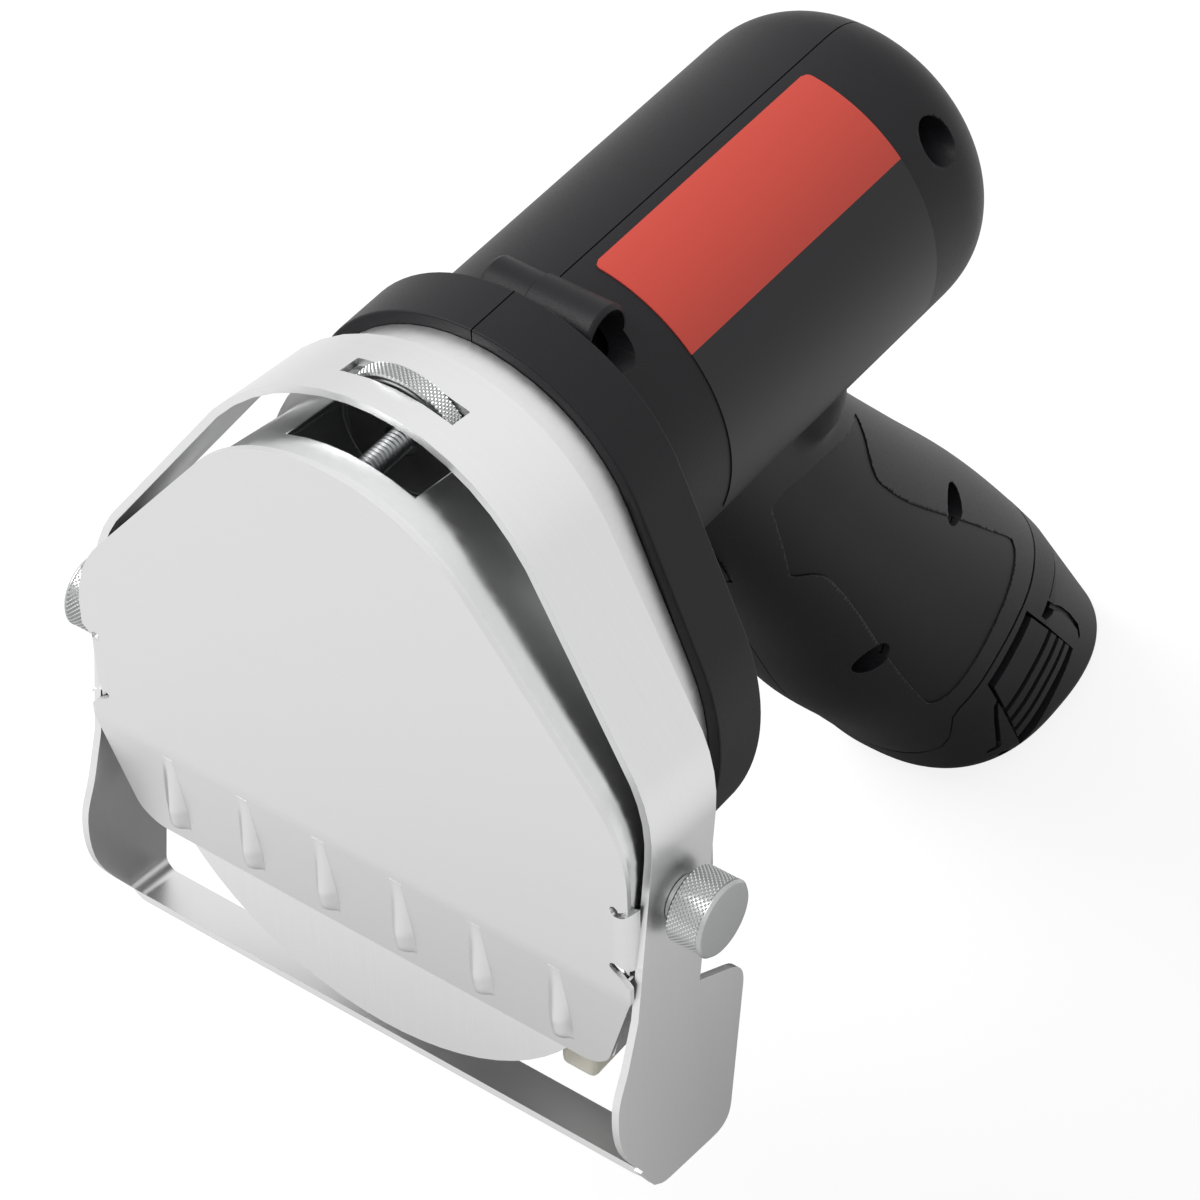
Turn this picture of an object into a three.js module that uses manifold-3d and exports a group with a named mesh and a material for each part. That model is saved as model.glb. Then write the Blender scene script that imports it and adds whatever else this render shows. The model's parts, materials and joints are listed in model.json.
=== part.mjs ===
// Cordless kebab slicer: a round blade in a sheet-steel shroud, a hinged guide hoop that sets the
// slice thickness, a geared motor in a pistol-shaped plastic housing and a slide-in battery.
// Millimetres. +X is the tool's right, +Y runs back along the motor, +Z is up.
// The model is laid out from the middle of the blade's front face and moved onto its base at the end.
import * as THREE from 'three';
import { mergeVertices } from 'three/addons/utils/BufferGeometryUtils.js';
import Module from 'manifold-3d';

const wasm = await Module();
wasm.setup();

// Clearances
const FIT_GAP = 0.1;
const RUN_GAP = 0.2;
const SEAM_GAP = 0.3;
const EXTRA = 1;

// Blade and spindle
const BLADE_RADIUS = 48.5;
const BLADE_THICKNESS = 1.2;
const BEVEL_WIDTH = 3;
const EDGE_THICKNESS = 0.3;
const STUB_RADIUS = 4;
const SPINDLE_RADIUS = 6;
const COLLAR_RADIUS = 12;
const COLLAR_LENGTH = 3;
const NUT_RADIUS = 9;
const NUT_THICKNESS = 2;

// Guard plate
const PLATE_THICKNESS = 1;
const PLATE_NUT_GAP = 0.6;
const PLATE_TOP_RADIUS = 33;
const PLATE_SIDE_ROOM = 6.5;
const PLATE_SHOULDER_RADIUS = 28;
const SHOULDER_HEIGHT = 20.7;
const BEND_HEIGHT = -4;
const SKIRT_DROP = 22.5;
const SKIRT_SETBACK = 2;
const SKIRT_HALF_WIDTH = 44;
const RIB_COUNT = 6;
const RIB_PITCH = 15.9;
const RIB_WIDTH = 4;
const RIB_LENGTH = 19;

// Blade shroud
const SHEET = 1.2;
const SHROUD_INSET = 1;
const SHROUD_DEPTH = 22.7;
const SHROUD_DROP = 20;
const SHROUD_TAPER = 5;
const SHROUD_DRAFT = 3;
const DRAFT_DEPTH = 12;
const WINDOW_ROOM = 0.3;
const WINDOW_FRONT = 5.5;
const PAD_INSET = 5.5;
const PAD_WIDTH = 7;
const PAD_RISE = 12.2;
const PAD_DEPTH = 10;
const PAD_TAB = 5;
const PAD_BLADE_GAP = 0.7;

// Gear pair
const GEAR_MODULE = 1.25;
const GEAR_TEETH = 50;
const PINION_TEETH = 26;
const GEAR_WIDTH = 5;
const PRESSURE_ANGLE = THREE.MathUtils.degToRad(20);
const BACKLASH = 0.35;

// Gear case
const CASE_DEPTH = 12.8;
const CASE_WALL = 2.5;
const CASE_FRONT_WALL = 2.5;
const CASE_TOP_INSET = 0.4;
const CASE_MID_RADIUS = 43.8;
const CASE_MID_HEIGHT = 15.3;
const GEAR_ROOM = 1;
const COVER_THICKNESS = 3;
const BOSS_WALL = 3;
const FRONT_BEARING_RADIUS = 14;
const FRONT_BEARING_WIDTH = 8;
const REAR_BEARING_RADIUS = 8;
const COVER_SCREW_SPREAD = 33;
const COVER_SCREW_HEIGHT = 27;

// Motor
const MOTOR_RADIUS = 21;
const MOTOR_LENGTH = 64;
const MOTOR_WALL = 1.5;
const MOTOR_SHAFT_RADIUS = 2.5;
const ARMATURE_RADIUS = 15;
const ARMATURE_LENGTH = 42;
const MOTOR_SCREW_SPREAD = 13;
const END_CAP_THICKNESS = 5;
const POST_LENGTH = 6;
const BOARD_RADIUS = 18;
const BOARD_THICKNESS = 1.6;

// Housing
const BARREL_RADIUS = 28.8;
const BARREL_LENGTH = 99.5;
const BARREL_ROUND = 14;
const HOUSING_WALL = 2.8;
const FLANGE_DEPTH = 11.3;
const FLANGE_LIP = 2.4;
const TOP_BOSS_RADIUS = 5.4;
const TOP_BOSS_LEFT = 11;
const TOP_BOSS_RIGHT = 13.5;

// Labels on the barrel's right side; angles run down from the top
const LABEL_START = 15;
const LABEL_LENGTH = 60;
const LABEL_THICKNESS = 0.3;
const LABEL_TOP_ANGLE = 5;
const LABEL_SPLIT_ANGLE = 47.5;
const LABEL_LOW_ANGLE = 112;
const LABEL_SPLIT = 0.5;

// Handle, in its own tilted frame: s runs down the handle from the motor axis, n runs to its back
const HANDLE_START = 76.5;
const HANDLE_TILT = THREE.MathUtils.degToRad(33.3);
const HANDLE_HALF_WIDTH = 22.5;
const HANDLE_HALF_DEPTH = 27;
const HANDLE_BOTTOM = -114;
const FOOT_ROUND = 8;
const PARTING = 145.5;
const PANEL_DEPTH = 1.2;
const PANEL_CORNER = 3;

// Trigger and switch
const TRIGGER_WIDTH = 15;
const TRIGGER_LENGTH = 25;
const TRIGGER_TOP = 34;
const TRIGGER_REACH = 4;
const TRIGGER_TRAVEL = 5;
const STOP_WIDTH = 1.5;
const STOP_DEPTH = 2.5;
const CRADLE_WIDTH = 2.4;
const SWITCH_DEPTH = 14;

// Battery
const CELL_RADIUS = 8;
const CELL_LENGTH = 50;
const CELL_GAP = 0.3;
const SLEEVE_WALL = 1.2;
const CELL_BOTTOM = 177;
const CELL_MIDDLE = -1;
const TERMINAL_CAP_THICKNESS = 4;
const LATCH_LENGTH = 18;
const LATCH_HEIGHT = 24;
const LATCH_THICKNESS = 2.6;
const LATCH_TRAVEL = 1.5;
const LATCH_MIDDLE_S = 164;
const LATCH_MIDDLE_N = -1;

// Guide hoop, laid out upright and then leaned back about its pivot
const HOOP_LEAN = THREE.MathUtils.degToRad(8);
const HOOP_SHEET = 1.4;
const HOOP_SIDE_GAP = 0.6;
const HOOP_RISE = 3.7;
const HOOP_TOP_RADIUS = 39;
const HOOP_SHOULDER_RADIUS = 28;
const HOOP_SHOULDER_HEIGHT = 22.7;
const HOOP_BOTTOM = -52.2;
const HOOP_CORNER = 4;
const PIVOT_Y = 8.5;
const PIVOT_Z = 10.5;
const STRIP_FRONT = -0.3;
const STRIP_BACK = 16.8;
const CROWN_FRONT = -1.2;
const BAR_FRONT = 8.6;
const FLAG_BACK = 30.2;
const FLAG_DROP = 1.8;
const FLAG_CORNER = 4.5;

// Thickness adjuster
const WHEEL_RADIUS = 12;
const WHEEL_THICKNESS = 3.4;
const WHEEL_Y = 17.1;
const STUD_RADIUS = 2.2;
const STUD_DROP = 10.7;
const WHEEL_BORE_GAP = 0.95;
const SLOT_LENGTH = 21.6;
const SLOT_WIDTH = 4.4;

// Thumbscrews
const KNOB_RADIUS = 6.8;
const KNOB_LENGTH = 6.9;
const NECK_RADIUS = 4;
const NECK_LENGTH = 1.6;
const SCREW_RADIUS = 2.5;
const PIVOT_NUT_RADIUS = 5;
const PIVOT_NUT_LENGTH = 5;

// Screws
const SHANK_RADIUS = 1.5;
const HEAD_RADIUS = 2.8;
const HEAD_HEIGHT = 2;
const RECESS_RADIUS = 3.6;
const SCREW_LENGTH = 16;

// Worked-out places along the motor axis
const axisZ = GEAR_MODULE * (GEAR_TEETH + PINION_TEETH) / 2;
const plateBack = -(NUT_THICKNESS + PLATE_NUT_GAP);
const plateFront = plateBack - PLATE_THICKNESS;
const shroudFront = plateBack + SEAM_GAP;
const shroudBack = shroudFront + SHROUD_DEPTH;
const caseFront = shroudBack + FIT_GAP;
const caseBack = caseFront + CASE_DEPTH;
const coverFront = caseBack - COVER_THICKNESS - FIT_GAP;
const coverBack = coverFront + COVER_THICKNESS;
const gearFront = caseFront + CASE_FRONT_WALL + (coverFront - caseFront - CASE_FRONT_WALL - GEAR_WIDTH) / 2;
const gearBack = gearFront + GEAR_WIDTH;
const flangeFront = caseBack + FIT_GAP;
const flangeBack = flangeFront + FLANGE_DEPTH;
const barrelEnd = flangeBack + BARREL_LENGTH;
const motorFront = coverBack + FIT_GAP;
const motorBack = motorFront + MOTOR_LENGTH;
const shroudTopRadius = PLATE_TOP_RADIUS - SHROUD_INSET;
const plateHalfWidth = BLADE_RADIUS + PLATE_SIDE_ROOM;
const shroudHalfWidth = plateHalfWidth - SHROUD_INSET;
const hoopHalfWidth = shroudHalfWidth + HOOP_SIDE_GAP + HOOP_SHEET;
const hoopTop = axisZ + shroudTopRadius + HOOP_RISE;
const studHeight = hoopTop - STUD_DROP;
const caseTopRadius = shroudTopRadius - CASE_TOP_INSET;
const windowLength = 2 * (WHEEL_RADIUS + WINDOW_ROOM);
const shroudBottom = BEND_HEIGHT - SHROUD_DROP;
const caseLowRadius = GEAR_MODULE * (GEAR_TEETH / 2 + 1) + GEAR_ROOM + CASE_WALL;
const SEGMENTS = 24;

// Solids and meshes

function toSolid(geometry) {
  const bare = geometry.clone();
  bare.deleteAttribute('normal');
  bare.deleteAttribute('uv');
  const merged = mergeVertices(bare, 1e-4);
  return new wasm.Manifold(new wasm.Mesh({
    numProp: 3,
    vertProperties: new Float32Array(merged.attributes.position.array),
    triVerts: new Uint32Array(merged.index.array),
  }));
}

function toGeometry(solid) {
  const mesh = solid.getMesh();
  const geometry = new THREE.BufferGeometry();
  geometry.setAttribute('position', new THREE.BufferAttribute(new Float32Array(mesh.vertProperties), 3));
  geometry.setIndex(new THREE.BufferAttribute(new Uint32Array(mesh.triVerts), 1));
  geometry.computeVertexNormals();
  return geometry;
}

function mainBody(solid) {
  return solid.decompose().reduce((best, piece) => (piece.volume() > best.volume() ? piece : best));
}

function join(...solids) {
  return solids.reduce((whole, solid) => whole.add(solid));
}

function cut(solid, ...tools) {
  return tools.reduce((rest, tool) => rest.subtract(tool), solid);
}

function box(low, high) {
  const size = high.map((value, i) => value - low[i]);
  const geometry = new THREE.BoxGeometry(...size);
  geometry.translate(...low.map((value, i) => value + size[i] / 2));
  return toSolid(geometry);
}

// A flat outline of [x, z] points, extruded from one y to another.
function prismY(points, from, to, holes = []) {
  const shape = new THREE.Shape(points.map(([x, z]) => new THREE.Vector2(x, z)));
  for (const hole of holes) shape.holes.push(new THREE.Path(hole.map(([x, z]) => new THREE.Vector2(x, z))));
  const geometry = new THREE.ExtrudeGeometry(shape, { depth: to - from, bevelEnabled: false });
  geometry.rotateX(Math.PI / 2);
  geometry.translate(0, to, 0);
  return toSolid(geometry);
}

// A flat outline of [x, y] points, extruded from one z to another.
function prismZ(points, from, to) {
  const shape = new THREE.Shape(points.map(([x, y]) => new THREE.Vector2(x, y)));
  const geometry = new THREE.ExtrudeGeometry(shape, { depth: to - from, bevelEnabled: false });
  geometry.translate(0, 0, from);
  return toSolid(geometry);
}

// A flat outline of [y, z] points, extruded from one x to another.
function prismX(points, from, to) {
  const shape = new THREE.Shape(points.map(([y, z]) => new THREE.Vector2(y, z)));
  const geometry = new THREE.ExtrudeGeometry(shape, { depth: to - from, bevelEnabled: false });
  const turn = new THREE.Matrix4().set(0, 0, 1, from, 1, 0, 0, 0, 0, 1, 0, 0, 0, 0, 0, 1);
  geometry.applyMatrix4(turn);
  return toSolid(geometry);
}

function cylinderY(radius, from, to, x = 0, z = 0, segments = SEGMENTS) {
  const geometry = new THREE.CylinderGeometry(radius, radius, to - from, segments);
  geometry.translate(x, (from + to) / 2, z);
  return toSolid(geometry);
}

function cylinderX(radius, from, to, y = 0, z = 0, segments = SEGMENTS) {
  const geometry = new THREE.CylinderGeometry(radius, radius, to - from, segments);
  geometry.rotateZ(Math.PI / 2);
  geometry.translate((from + to) / 2, y, z);
  return toSolid(geometry);
}

// A solid of revolution about the Y direction through [0, z]; the profile is [radius, y] points.
function turned(profile, z = 0, segments = SEGMENTS) {
  const points = profile.map(([radius, y]) => new THREE.Vector2(radius, y));
  const geometry = new THREE.LatheGeometry(points, segments);
  geometry.translate(0, 0, z);
  const solid = toSolid(geometry);
  if (solid.volume() > 0) return solid;
  return toSolid(new THREE.LatheGeometry(points.reverse(), segments).translate(0, 0, z));
}

function ring(outer, inner, from, to, z = 0, segments = SEGMENTS) {
  return turned([[inner, from], [outer, from], [outer, to], [inner, to], [inner, from]], z, segments);
}

// Rings of equal point counts, joined one to the next and closed at both ends.
function loft(rings) {
  const count = rings[0].length;
  const positions = rings.flat().flatMap((point) => point);
  const index = [];
  for (let r = 0; r + 1 < rings.length; r += 1) {
    for (let i = 0; i < count; i += 1) {
      const a = r * count + i;
      const b = r * count + (i + 1) % count;
      index.push(a, b, a + count, b, b + count, a + count);
    }
  }
  const last = (rings.length - 1) * count;
  for (let i = 1; i + 1 < count; i += 1) {
    index.push(0, i + 1, i);
    index.push(last, last + i, last + i + 1);
  }
  const geometry = new THREE.BufferGeometry();
  geometry.setAttribute('position', new THREE.Float32BufferAttribute(positions, 3));
  geometry.setIndex(index);
  const solid = toSolid(geometry);
  if (solid.volume() > 0) return solid;
  for (let i = 0; i < index.length; i += 3) [index[i], index[i + 1]] = [index[i + 1], index[i]];
  geometry.setIndex(index);
  return toSolid(geometry);
}

function circle(x, z, radius, segments = 48) {
  return Array.from({ length: segments }, (_, i) => {
    const angle = 2 * Math.PI * i / segments;
    return [x + radius * Math.cos(angle), z + radius * Math.sin(angle)];
  });
}

// The outline of a band stretched round a set of points.
function hull(points) {
  const sorted = [...points].sort((a, b) => a[0] - b[0] || a[1] - b[1]);
  const turn = (o, a, b) => (a[0] - o[0]) * (b[1] - o[1]) - (a[1] - o[1]) * (b[0] - o[0]);
  const half = (list) => list.reduce((chain, point) => {
    while (chain.length > 1 && turn(chain.at(-2), chain.at(-1), point) <= 1e-6) chain.pop();
    return [...chain, point];
  }, []);
  const lower = half(sorted);
  const upper = half(sorted.reverse());
  return [...lower.slice(0, -1), ...upper.slice(0, -1)];
}

// An outline of straight edges whose corners are eased over a distance along each edge.
function rounded(corners, reach, steps = 3) {
  const toward = (from, to) => {
    const length = Math.hypot(to[0] - from[0], to[1] - from[1]);
    const share = Math.min(reach / length, 0.4);
    return new THREE.Vector2(from[0] + (to[0] - from[0]) * share, from[1] + (to[1] - from[1]) * share);
  };
  return corners.flatMap((corner, i) => {
    const start = toward(corner, corners.at(i - 1));
    const end = toward(corner, corners[(i + 1) % corners.length]);
    const curve = new THREE.QuadraticBezierCurve(start, new THREE.Vector2(...corner), end);
    return curve.getPoints(steps).map(({ x, y }) => [x, y]);
  });
}

// The same anticlockwise outline, moved inward by a distance.
function inward(points, distance) {
  return points.map(([x, y], i) => {
    const [px, py] = points.at(i - 1);
    const [nx, ny] = points[(i + 1) % points.length];
    const length = Math.hypot(nx - px, ny - py);
    return [x - distance * (ny - py) / length, y + distance * (nx - px) / length];
  });
}

function both(points) {
  return points.flatMap(([x, z]) => [[x, z], [-x, z]]);
}

function finish(color, roughness, metalness) {
  return () => new THREE.MeshStandardMaterial({ color, roughness, metalness });
}

const STAINLESS = finish(0xd2d3d4, 0.3, 1);
const STEEL = finish(0xa9abad, 0.35, 1);
const CAST_ALLOY = finish(0xbfc0c2, 0.45, 1);
const BLACK_PLASTIC = finish(0x2b292e, 0.6, 0);
const BLACK_GRIP = finish(0x242227, 0.75, 0);
const RED_LABEL = finish(0xc94b3e, 0.45, 0);
const BLACK_LABEL = finish(0x232226, 0.5, 0);
const NYLON = finish(0xd8d4bf, 0.55, 0);
const COPPER = finish(0xb4713f, 0.4, 1);
const GREEN_BOARD = finish(0x1f5b3a, 0.5, 0);
const BLUE_WRAP = finish(0x2b5c93, 0.5, 0);

const root = new THREE.Group();

function place(group, name, solid, material) {
  const mesh = new THREE.Mesh(toGeometry(solid), material());
  mesh.name = name;
  group.add(mesh);
}

// Outlines shared by the plate, the shroud and the hoop

function shoulders(halfWidth, radius, height) {
  return both(circle(halfWidth - radius, height, radius));
}

function plateOutline() {
  return hull([
    ...circle(0, axisZ, PLATE_TOP_RADIUS),
    ...shoulders(plateHalfWidth, PLATE_SHOULDER_RADIUS, SHOULDER_HEIGHT),
    ...both([[plateHalfWidth, BEND_HEIGHT]]),
  ]);
}

function shroudOutline(inset, bottom, draft = 0) {
  const drop = BEND_HEIGHT - bottom;
  return hull([
    ...circle(0, axisZ, shroudTopRadius - inset - draft),
    ...shoulders(shroudHalfWidth - inset, PLATE_SHOULDER_RADIUS - inset, SHOULDER_HEIGHT - draft),
    ...both([[shroudHalfWidth - inset, BEND_HEIGHT]]),
    ...both([[shroudHalfWidth - inset - SHROUD_TAPER * drop / SHROUD_DROP, bottom]]),
  ]);
}

function caseOutline(offset) {
  return hull([
    ...circle(0, axisZ, caseTopRadius + offset),
    ...circle(0, CASE_MID_HEIGHT, CASE_MID_RADIUS + offset, 64),
    ...circle(0, 0, caseLowRadius + offset),
  ]);
}

// Guard plate: a flat sheet, a skirt that leans back below the bend, and ribs that keep the skirt stiff

function guardPlate() {
  const skirtBottom = BEND_HEIGHT - SKIRT_DROP;
  const face = prismY(plateOutline(), plateFront, plateBack);
  const skirtSide = [
    [plateFront, BEND_HEIGHT],
    [plateBack, BEND_HEIGHT],
    [plateBack + SKIRT_SETBACK, skirtBottom],
    [plateFront + SKIRT_SETBACK, skirtBottom],
  ];
  const skirtFront = hull(both([
    [plateHalfWidth, BEND_HEIGHT + EXTRA],
    [plateHalfWidth - 1, BEND_HEIGHT],
    [SKIRT_HALF_WIDTH + 5, skirtBottom + 4],
    [SKIRT_HALF_WIDTH, skirtBottom],
  ]));
  const slab = prismX(skirtSide, -plateHalfWidth, plateHalfWidth);
  const skirt = slab.intersect(prismY(skirtFront, plateFront - EXTRA, plateBack + SKIRT_SETBACK + EXTRA));
  const ribSetback = SKIRT_SETBACK * RIB_LENGTH / SKIRT_DROP;
  const ribSide = [
    [plateFront, BEND_HEIGHT - SEAM_GAP],
    [plateFront + ribSetback + PLATE_THICKNESS / 2, BEND_HEIGHT - RIB_LENGTH],
    [plateFront + SEAM_GAP, BEND_HEIGHT - RIB_LENGTH],
  ];
  let plate = face.add(skirt);
  for (let i = 0; i < RIB_COUNT; i += 1) {
    const x = (i - (RIB_COUNT - 1) / 2) * RIB_PITCH;
    plate = plate.add(prismX(ribSide, x - RIB_WIDTH / 2, x + RIB_WIDTH / 2));
  }
  return plate;
}

// Blade shroud: a deep sheet-steel cover that draws in behind the plate, open below, with a window
// for the adjuster

function draftedCover(inset, bottom, front, back) {
  const waist = shroudFront + DRAFT_DEPTH;
  return wasm.Manifold.hull([
    prismY(shroudOutline(inset, bottom), front, shroudFront + EXTRA),
    prismY(shroudOutline(inset, bottom, SHROUD_DRAFT), waist, back),
  ]);
}

function shroud() {
  const wall = cut(
    draftedCover(0, shroudBottom, shroudFront, shroudBack),
    draftedCover(SHEET, shroudBottom - SHROUD_DROP, shroudFront - EXTRA, shroudBack - SHEET),
  );
  const window = box(
    [-windowLength / 2, shroudFront + WINDOW_FRONT, studHeight - WHEEL_RADIUS],
    [windowLength / 2, shroudBack - SHEET, hoopTop],
  );
  const behindSkirt = prismX([
    [shroudFront - EXTRA, BEND_HEIGHT],
    [shroudFront, BEND_HEIGHT],
    [shroudFront + SKIRT_SETBACK, BEND_HEIGHT - SKIRT_DROP],
    [shroudFront - EXTRA, BEND_HEIGHT - SKIRT_DROP],
  ], -plateHalfWidth, plateHalfWidth);
  return cut(
    wall,
    window,
    behindSkirt,
    cylinderY(FRONT_BEARING_RADIUS + BOSS_WALL + RUN_GAP * 2, shroudBack - SHEET - EXTRA, shroudBack + EXTRA),
    cylinderY(STUD_RADIUS + RUN_GAP, shroudBack - SHEET - EXTRA, shroudBack + EXTRA, 0, studHeight),
    cylinderX(SCREW_RADIUS + RUN_GAP, -shroudHalfWidth - EXTRA, shroudHalfWidth + EXTRA, PIVOT_Y, PIVOT_Z),
  );
}

// Nylon pad behind the blade's edge on the right, with a tab out to the shroud's wall

function pad() {
  const front = BLADE_THICKNESS + PAD_BLADE_GAP;
  const back = front + PAD_DEPTH;
  const outer = BLADE_RADIUS - PAD_INSET;
  const top = shroudBottom + PAD_TAB;
  const tab = box([outer - EXTRA, front, shroudBottom], [shroudHalfWidth, back, top]);
  const inside = prismY(shroudOutline(SHEET + FIT_GAP, shroudBottom - SHROUD_DROP), front, back);
  const low = PAD_RISE - BLADE_RADIUS;
  return box([outer - PAD_WIDTH, front, low], [outer, back, top]).add(tab.intersect(inside));
}

// Blade, spindle and nut

function blade() {
  const back = BLADE_THICKNESS;
  return turned([
    [STUB_RADIUS + FIT_GAP, 0],
    [BLADE_RADIUS, 0],
    [BLADE_RADIUS, EDGE_THICKNESS],
    [BLADE_RADIUS - BEVEL_WIDTH, back],
    [STUB_RADIUS + FIT_GAP, back],
    [STUB_RADIUS + FIT_GAP, 0],
  ], 0, 72);
}

function spindle() {
  const seat = BLADE_THICKNESS + FIT_GAP;
  return turned([
    [0, -NUT_THICKNESS],
    [STUB_RADIUS, -NUT_THICKNESS],
    [STUB_RADIUS, seat],
    [COLLAR_RADIUS, seat],
    [COLLAR_RADIUS, seat + COLLAR_LENGTH],
    [SPINDLE_RADIUS, seat + COLLAR_LENGTH],
    [SPINDLE_RADIUS, gearBack],
    [STUB_RADIUS, gearBack],
    [STUB_RADIUS, coverBack - FIT_GAP],
    [0, coverBack - FIT_GAP],
  ]);
}

function bladeNut() {
  const bore = circle(0, 0, STUB_RADIUS + FIT_GAP, SEGMENTS);
  return prismY(circle(0, 0, NUT_RADIUS, 6), -NUT_THICKNESS, -FIT_GAP, [bore]);
}

// A spur gear outline with involute flanks; the first tooth points along angle.

function gearOutline(teeth, angle, centreZ) {
  const pitch = GEAR_MODULE * teeth / 2;
  const base = pitch * Math.cos(PRESSURE_ANGLE);
  const tip = pitch + GEAR_MODULE;
  const foot = pitch - 1.25 * GEAR_MODULE;
  const involute = (radius) => {
    const roll = Math.acos(Math.min(1, base / radius));
    return Math.tan(roll) - roll;
  };
  const halfAtPitch = Math.PI / (2 * teeth) - BACKLASH / (2 * pitch);
  const half = (radius) => halfAtPitch + involute(pitch) - involute(radius);
  const flank = [Math.max(foot, base), pitch, (pitch + tip) / 2, tip];
  const points = [];
  for (let i = 0; i < teeth; i += 1) {
    const middle = angle + 2 * Math.PI * i / teeth;
    const corner = (radius, turn) => [
      radius * Math.cos(middle + turn),
      centreZ + radius * Math.sin(middle + turn),
    ];
    points.push(corner(foot, -half(flank[0])));
    for (const radius of flank) points.push(corner(radius, -half(radius)));
    for (const radius of [...flank].reverse()) points.push(corner(radius, half(radius)));
    points.push(corner(foot, half(flank[0])));
  }
  return points;
}

function spurGear(teeth, angle, centreZ, bore) {
  const hole = circle(0, centreZ, bore + FIT_GAP, SEGMENTS);
  return prismY(gearOutline(teeth, angle, centreZ), gearFront, gearBack, [hole]);
}

// Gear case and cover

function coverScrewPlaces() {
  return [[-COVER_SCREW_SPREAD, COVER_SCREW_HEIGHT], [COVER_SCREW_SPREAD, COVER_SCREW_HEIGHT]];
}

function gearCase() {
  const bearingSeat = caseFront - FRONT_BEARING_WIDTH - FIT_GAP;
  const shell = cut(
    prismY(caseOutline(0), caseFront, caseBack),
    prismY(caseOutline(-CASE_WALL), caseFront + CASE_FRONT_WALL, caseBack + EXTRA),
  );
  const bosses = coverScrewPlaces().map(([x, z]) => cut(
    cylinderY(HEAD_RADIUS + 1, caseFront + CASE_FRONT_WALL / 2, coverFront - FIT_GAP, x, z),
    cylinderY(SHANK_RADIUS + FIT_GAP, caseFront + CASE_FRONT_WALL, caseBack, x, z),
  ));
  const tubeBack = caseFront + CASE_FRONT_WALL / 2;
  const bearingTube = cylinderY(FRONT_BEARING_RADIUS + BOSS_WALL, bearingSeat, tubeBack);
  return cut(
    join(shell, bearingTube, ...bosses),
    cylinderY(FRONT_BEARING_RADIUS + FIT_GAP, bearingSeat - EXTRA, caseFront),
    cylinderY(SPINDLE_RADIUS + 2 * RUN_GAP, bearingSeat - EXTRA, caseBack),
    cylinderY(STUD_RADIUS + FIT_GAP, caseFront - EXTRA, caseFront + CASE_FRONT_WALL - EXTRA, 0, studHeight),
  );
}

function gearCover() {
  const plate = prismY(caseOutline(-CASE_WALL - SEAM_GAP), coverFront, coverBack);
  const motorHoles = [-1, 1].flatMap((side) => [
    cylinderY(
      SHANK_RADIUS + FIT_GAP, coverFront - EXTRA, coverBack + EXTRA,
      side * MOTOR_SCREW_SPREAD, axisZ,
    ),
    cylinderY(
      HEAD_RADIUS + FIT_GAP, coverFront - EXTRA, coverFront + HEAD_HEIGHT + FIT_GAP,
      side * MOTOR_SCREW_SPREAD, axisZ,
    ),
  ]);
  const coverHoles = coverScrewPlaces().map(([x, z]) => (
    cylinderY(SHANK_RADIUS + FIT_GAP, coverFront - EXTRA, coverBack + EXTRA, x, z)
  ));
  return cut(
    plate,
    cylinderY(REAR_BEARING_RADIUS + FIT_GAP, coverFront - EXTRA, coverBack + EXTRA),
    cylinderY(MOTOR_SHAFT_RADIUS + 2 * RUN_GAP, coverFront - EXTRA, coverBack + EXTRA, 0, axisZ),
    ...motorHoles,
    ...coverHoles,
  );
}

// Screws along Y with the head at the back or at the front, and along X with the head at the right

function screwY(x, z, headBack, length) {
  const headFront = headBack - HEAD_HEIGHT;
  return join(
    cylinderY(HEAD_RADIUS, headFront, headBack, x, z, 12),
    cylinderY(SHANK_RADIUS, headFront - length, headFront + HEAD_HEIGHT / 2, x, z, 12),
  );
}

function motorScrew(side) {
  const x = side * MOTOR_SCREW_SPREAD;
  const headBack = coverFront + HEAD_HEIGHT;
  return join(
    cylinderY(HEAD_RADIUS, coverFront, headBack, x, axisZ, 12),
    cylinderY(SHANK_RADIUS, headBack - HEAD_HEIGHT / 2, motorFront + 2 * MOTOR_WALL, x, axisZ, 12),
  );
}

function screwX(headRight, y, z, length) {
  const headLeft = headRight - HEAD_HEIGHT;
  return join(
    cylinderX(HEAD_RADIUS, headLeft, headRight, y, z, 12),
    cylinderX(SHANK_RADIUS, headLeft - length, headLeft + HEAD_HEIGHT / 2, y, z, 12),
  );
}

// Motor

function motorCan() {
  const can = turned([
    [MOTOR_SHAFT_RADIUS + 2 * RUN_GAP, motorFront],
    [MOTOR_RADIUS, motorFront],
    [MOTOR_RADIUS, motorBack],
    [MOTOR_RADIUS - MOTOR_WALL, motorBack],
    [MOTOR_RADIUS - MOTOR_WALL, motorFront + 2 * MOTOR_WALL],
    [MOTOR_SHAFT_RADIUS + 2 * RUN_GAP, motorFront + 2 * MOTOR_WALL],
    [MOTOR_SHAFT_RADIUS + 2 * RUN_GAP, motorFront],
  ], axisZ, 36);
  const holes = [-1, 1].map((side) => cylinderY(
    SHANK_RADIUS + FIT_GAP, motorFront - EXTRA, motorFront + 2 * MOTOR_WALL + EXTRA,
    side * MOTOR_SCREW_SPREAD, axisZ,
  ));
  return cut(can, ...holes);
}

function armature() {
  const start = motorFront + (MOTOR_LENGTH - ARMATURE_LENGTH) / 2;
  return ring(ARMATURE_RADIUS, MOTOR_SHAFT_RADIUS + FIT_GAP, start, start + ARMATURE_LENGTH, axisZ);
}

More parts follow.
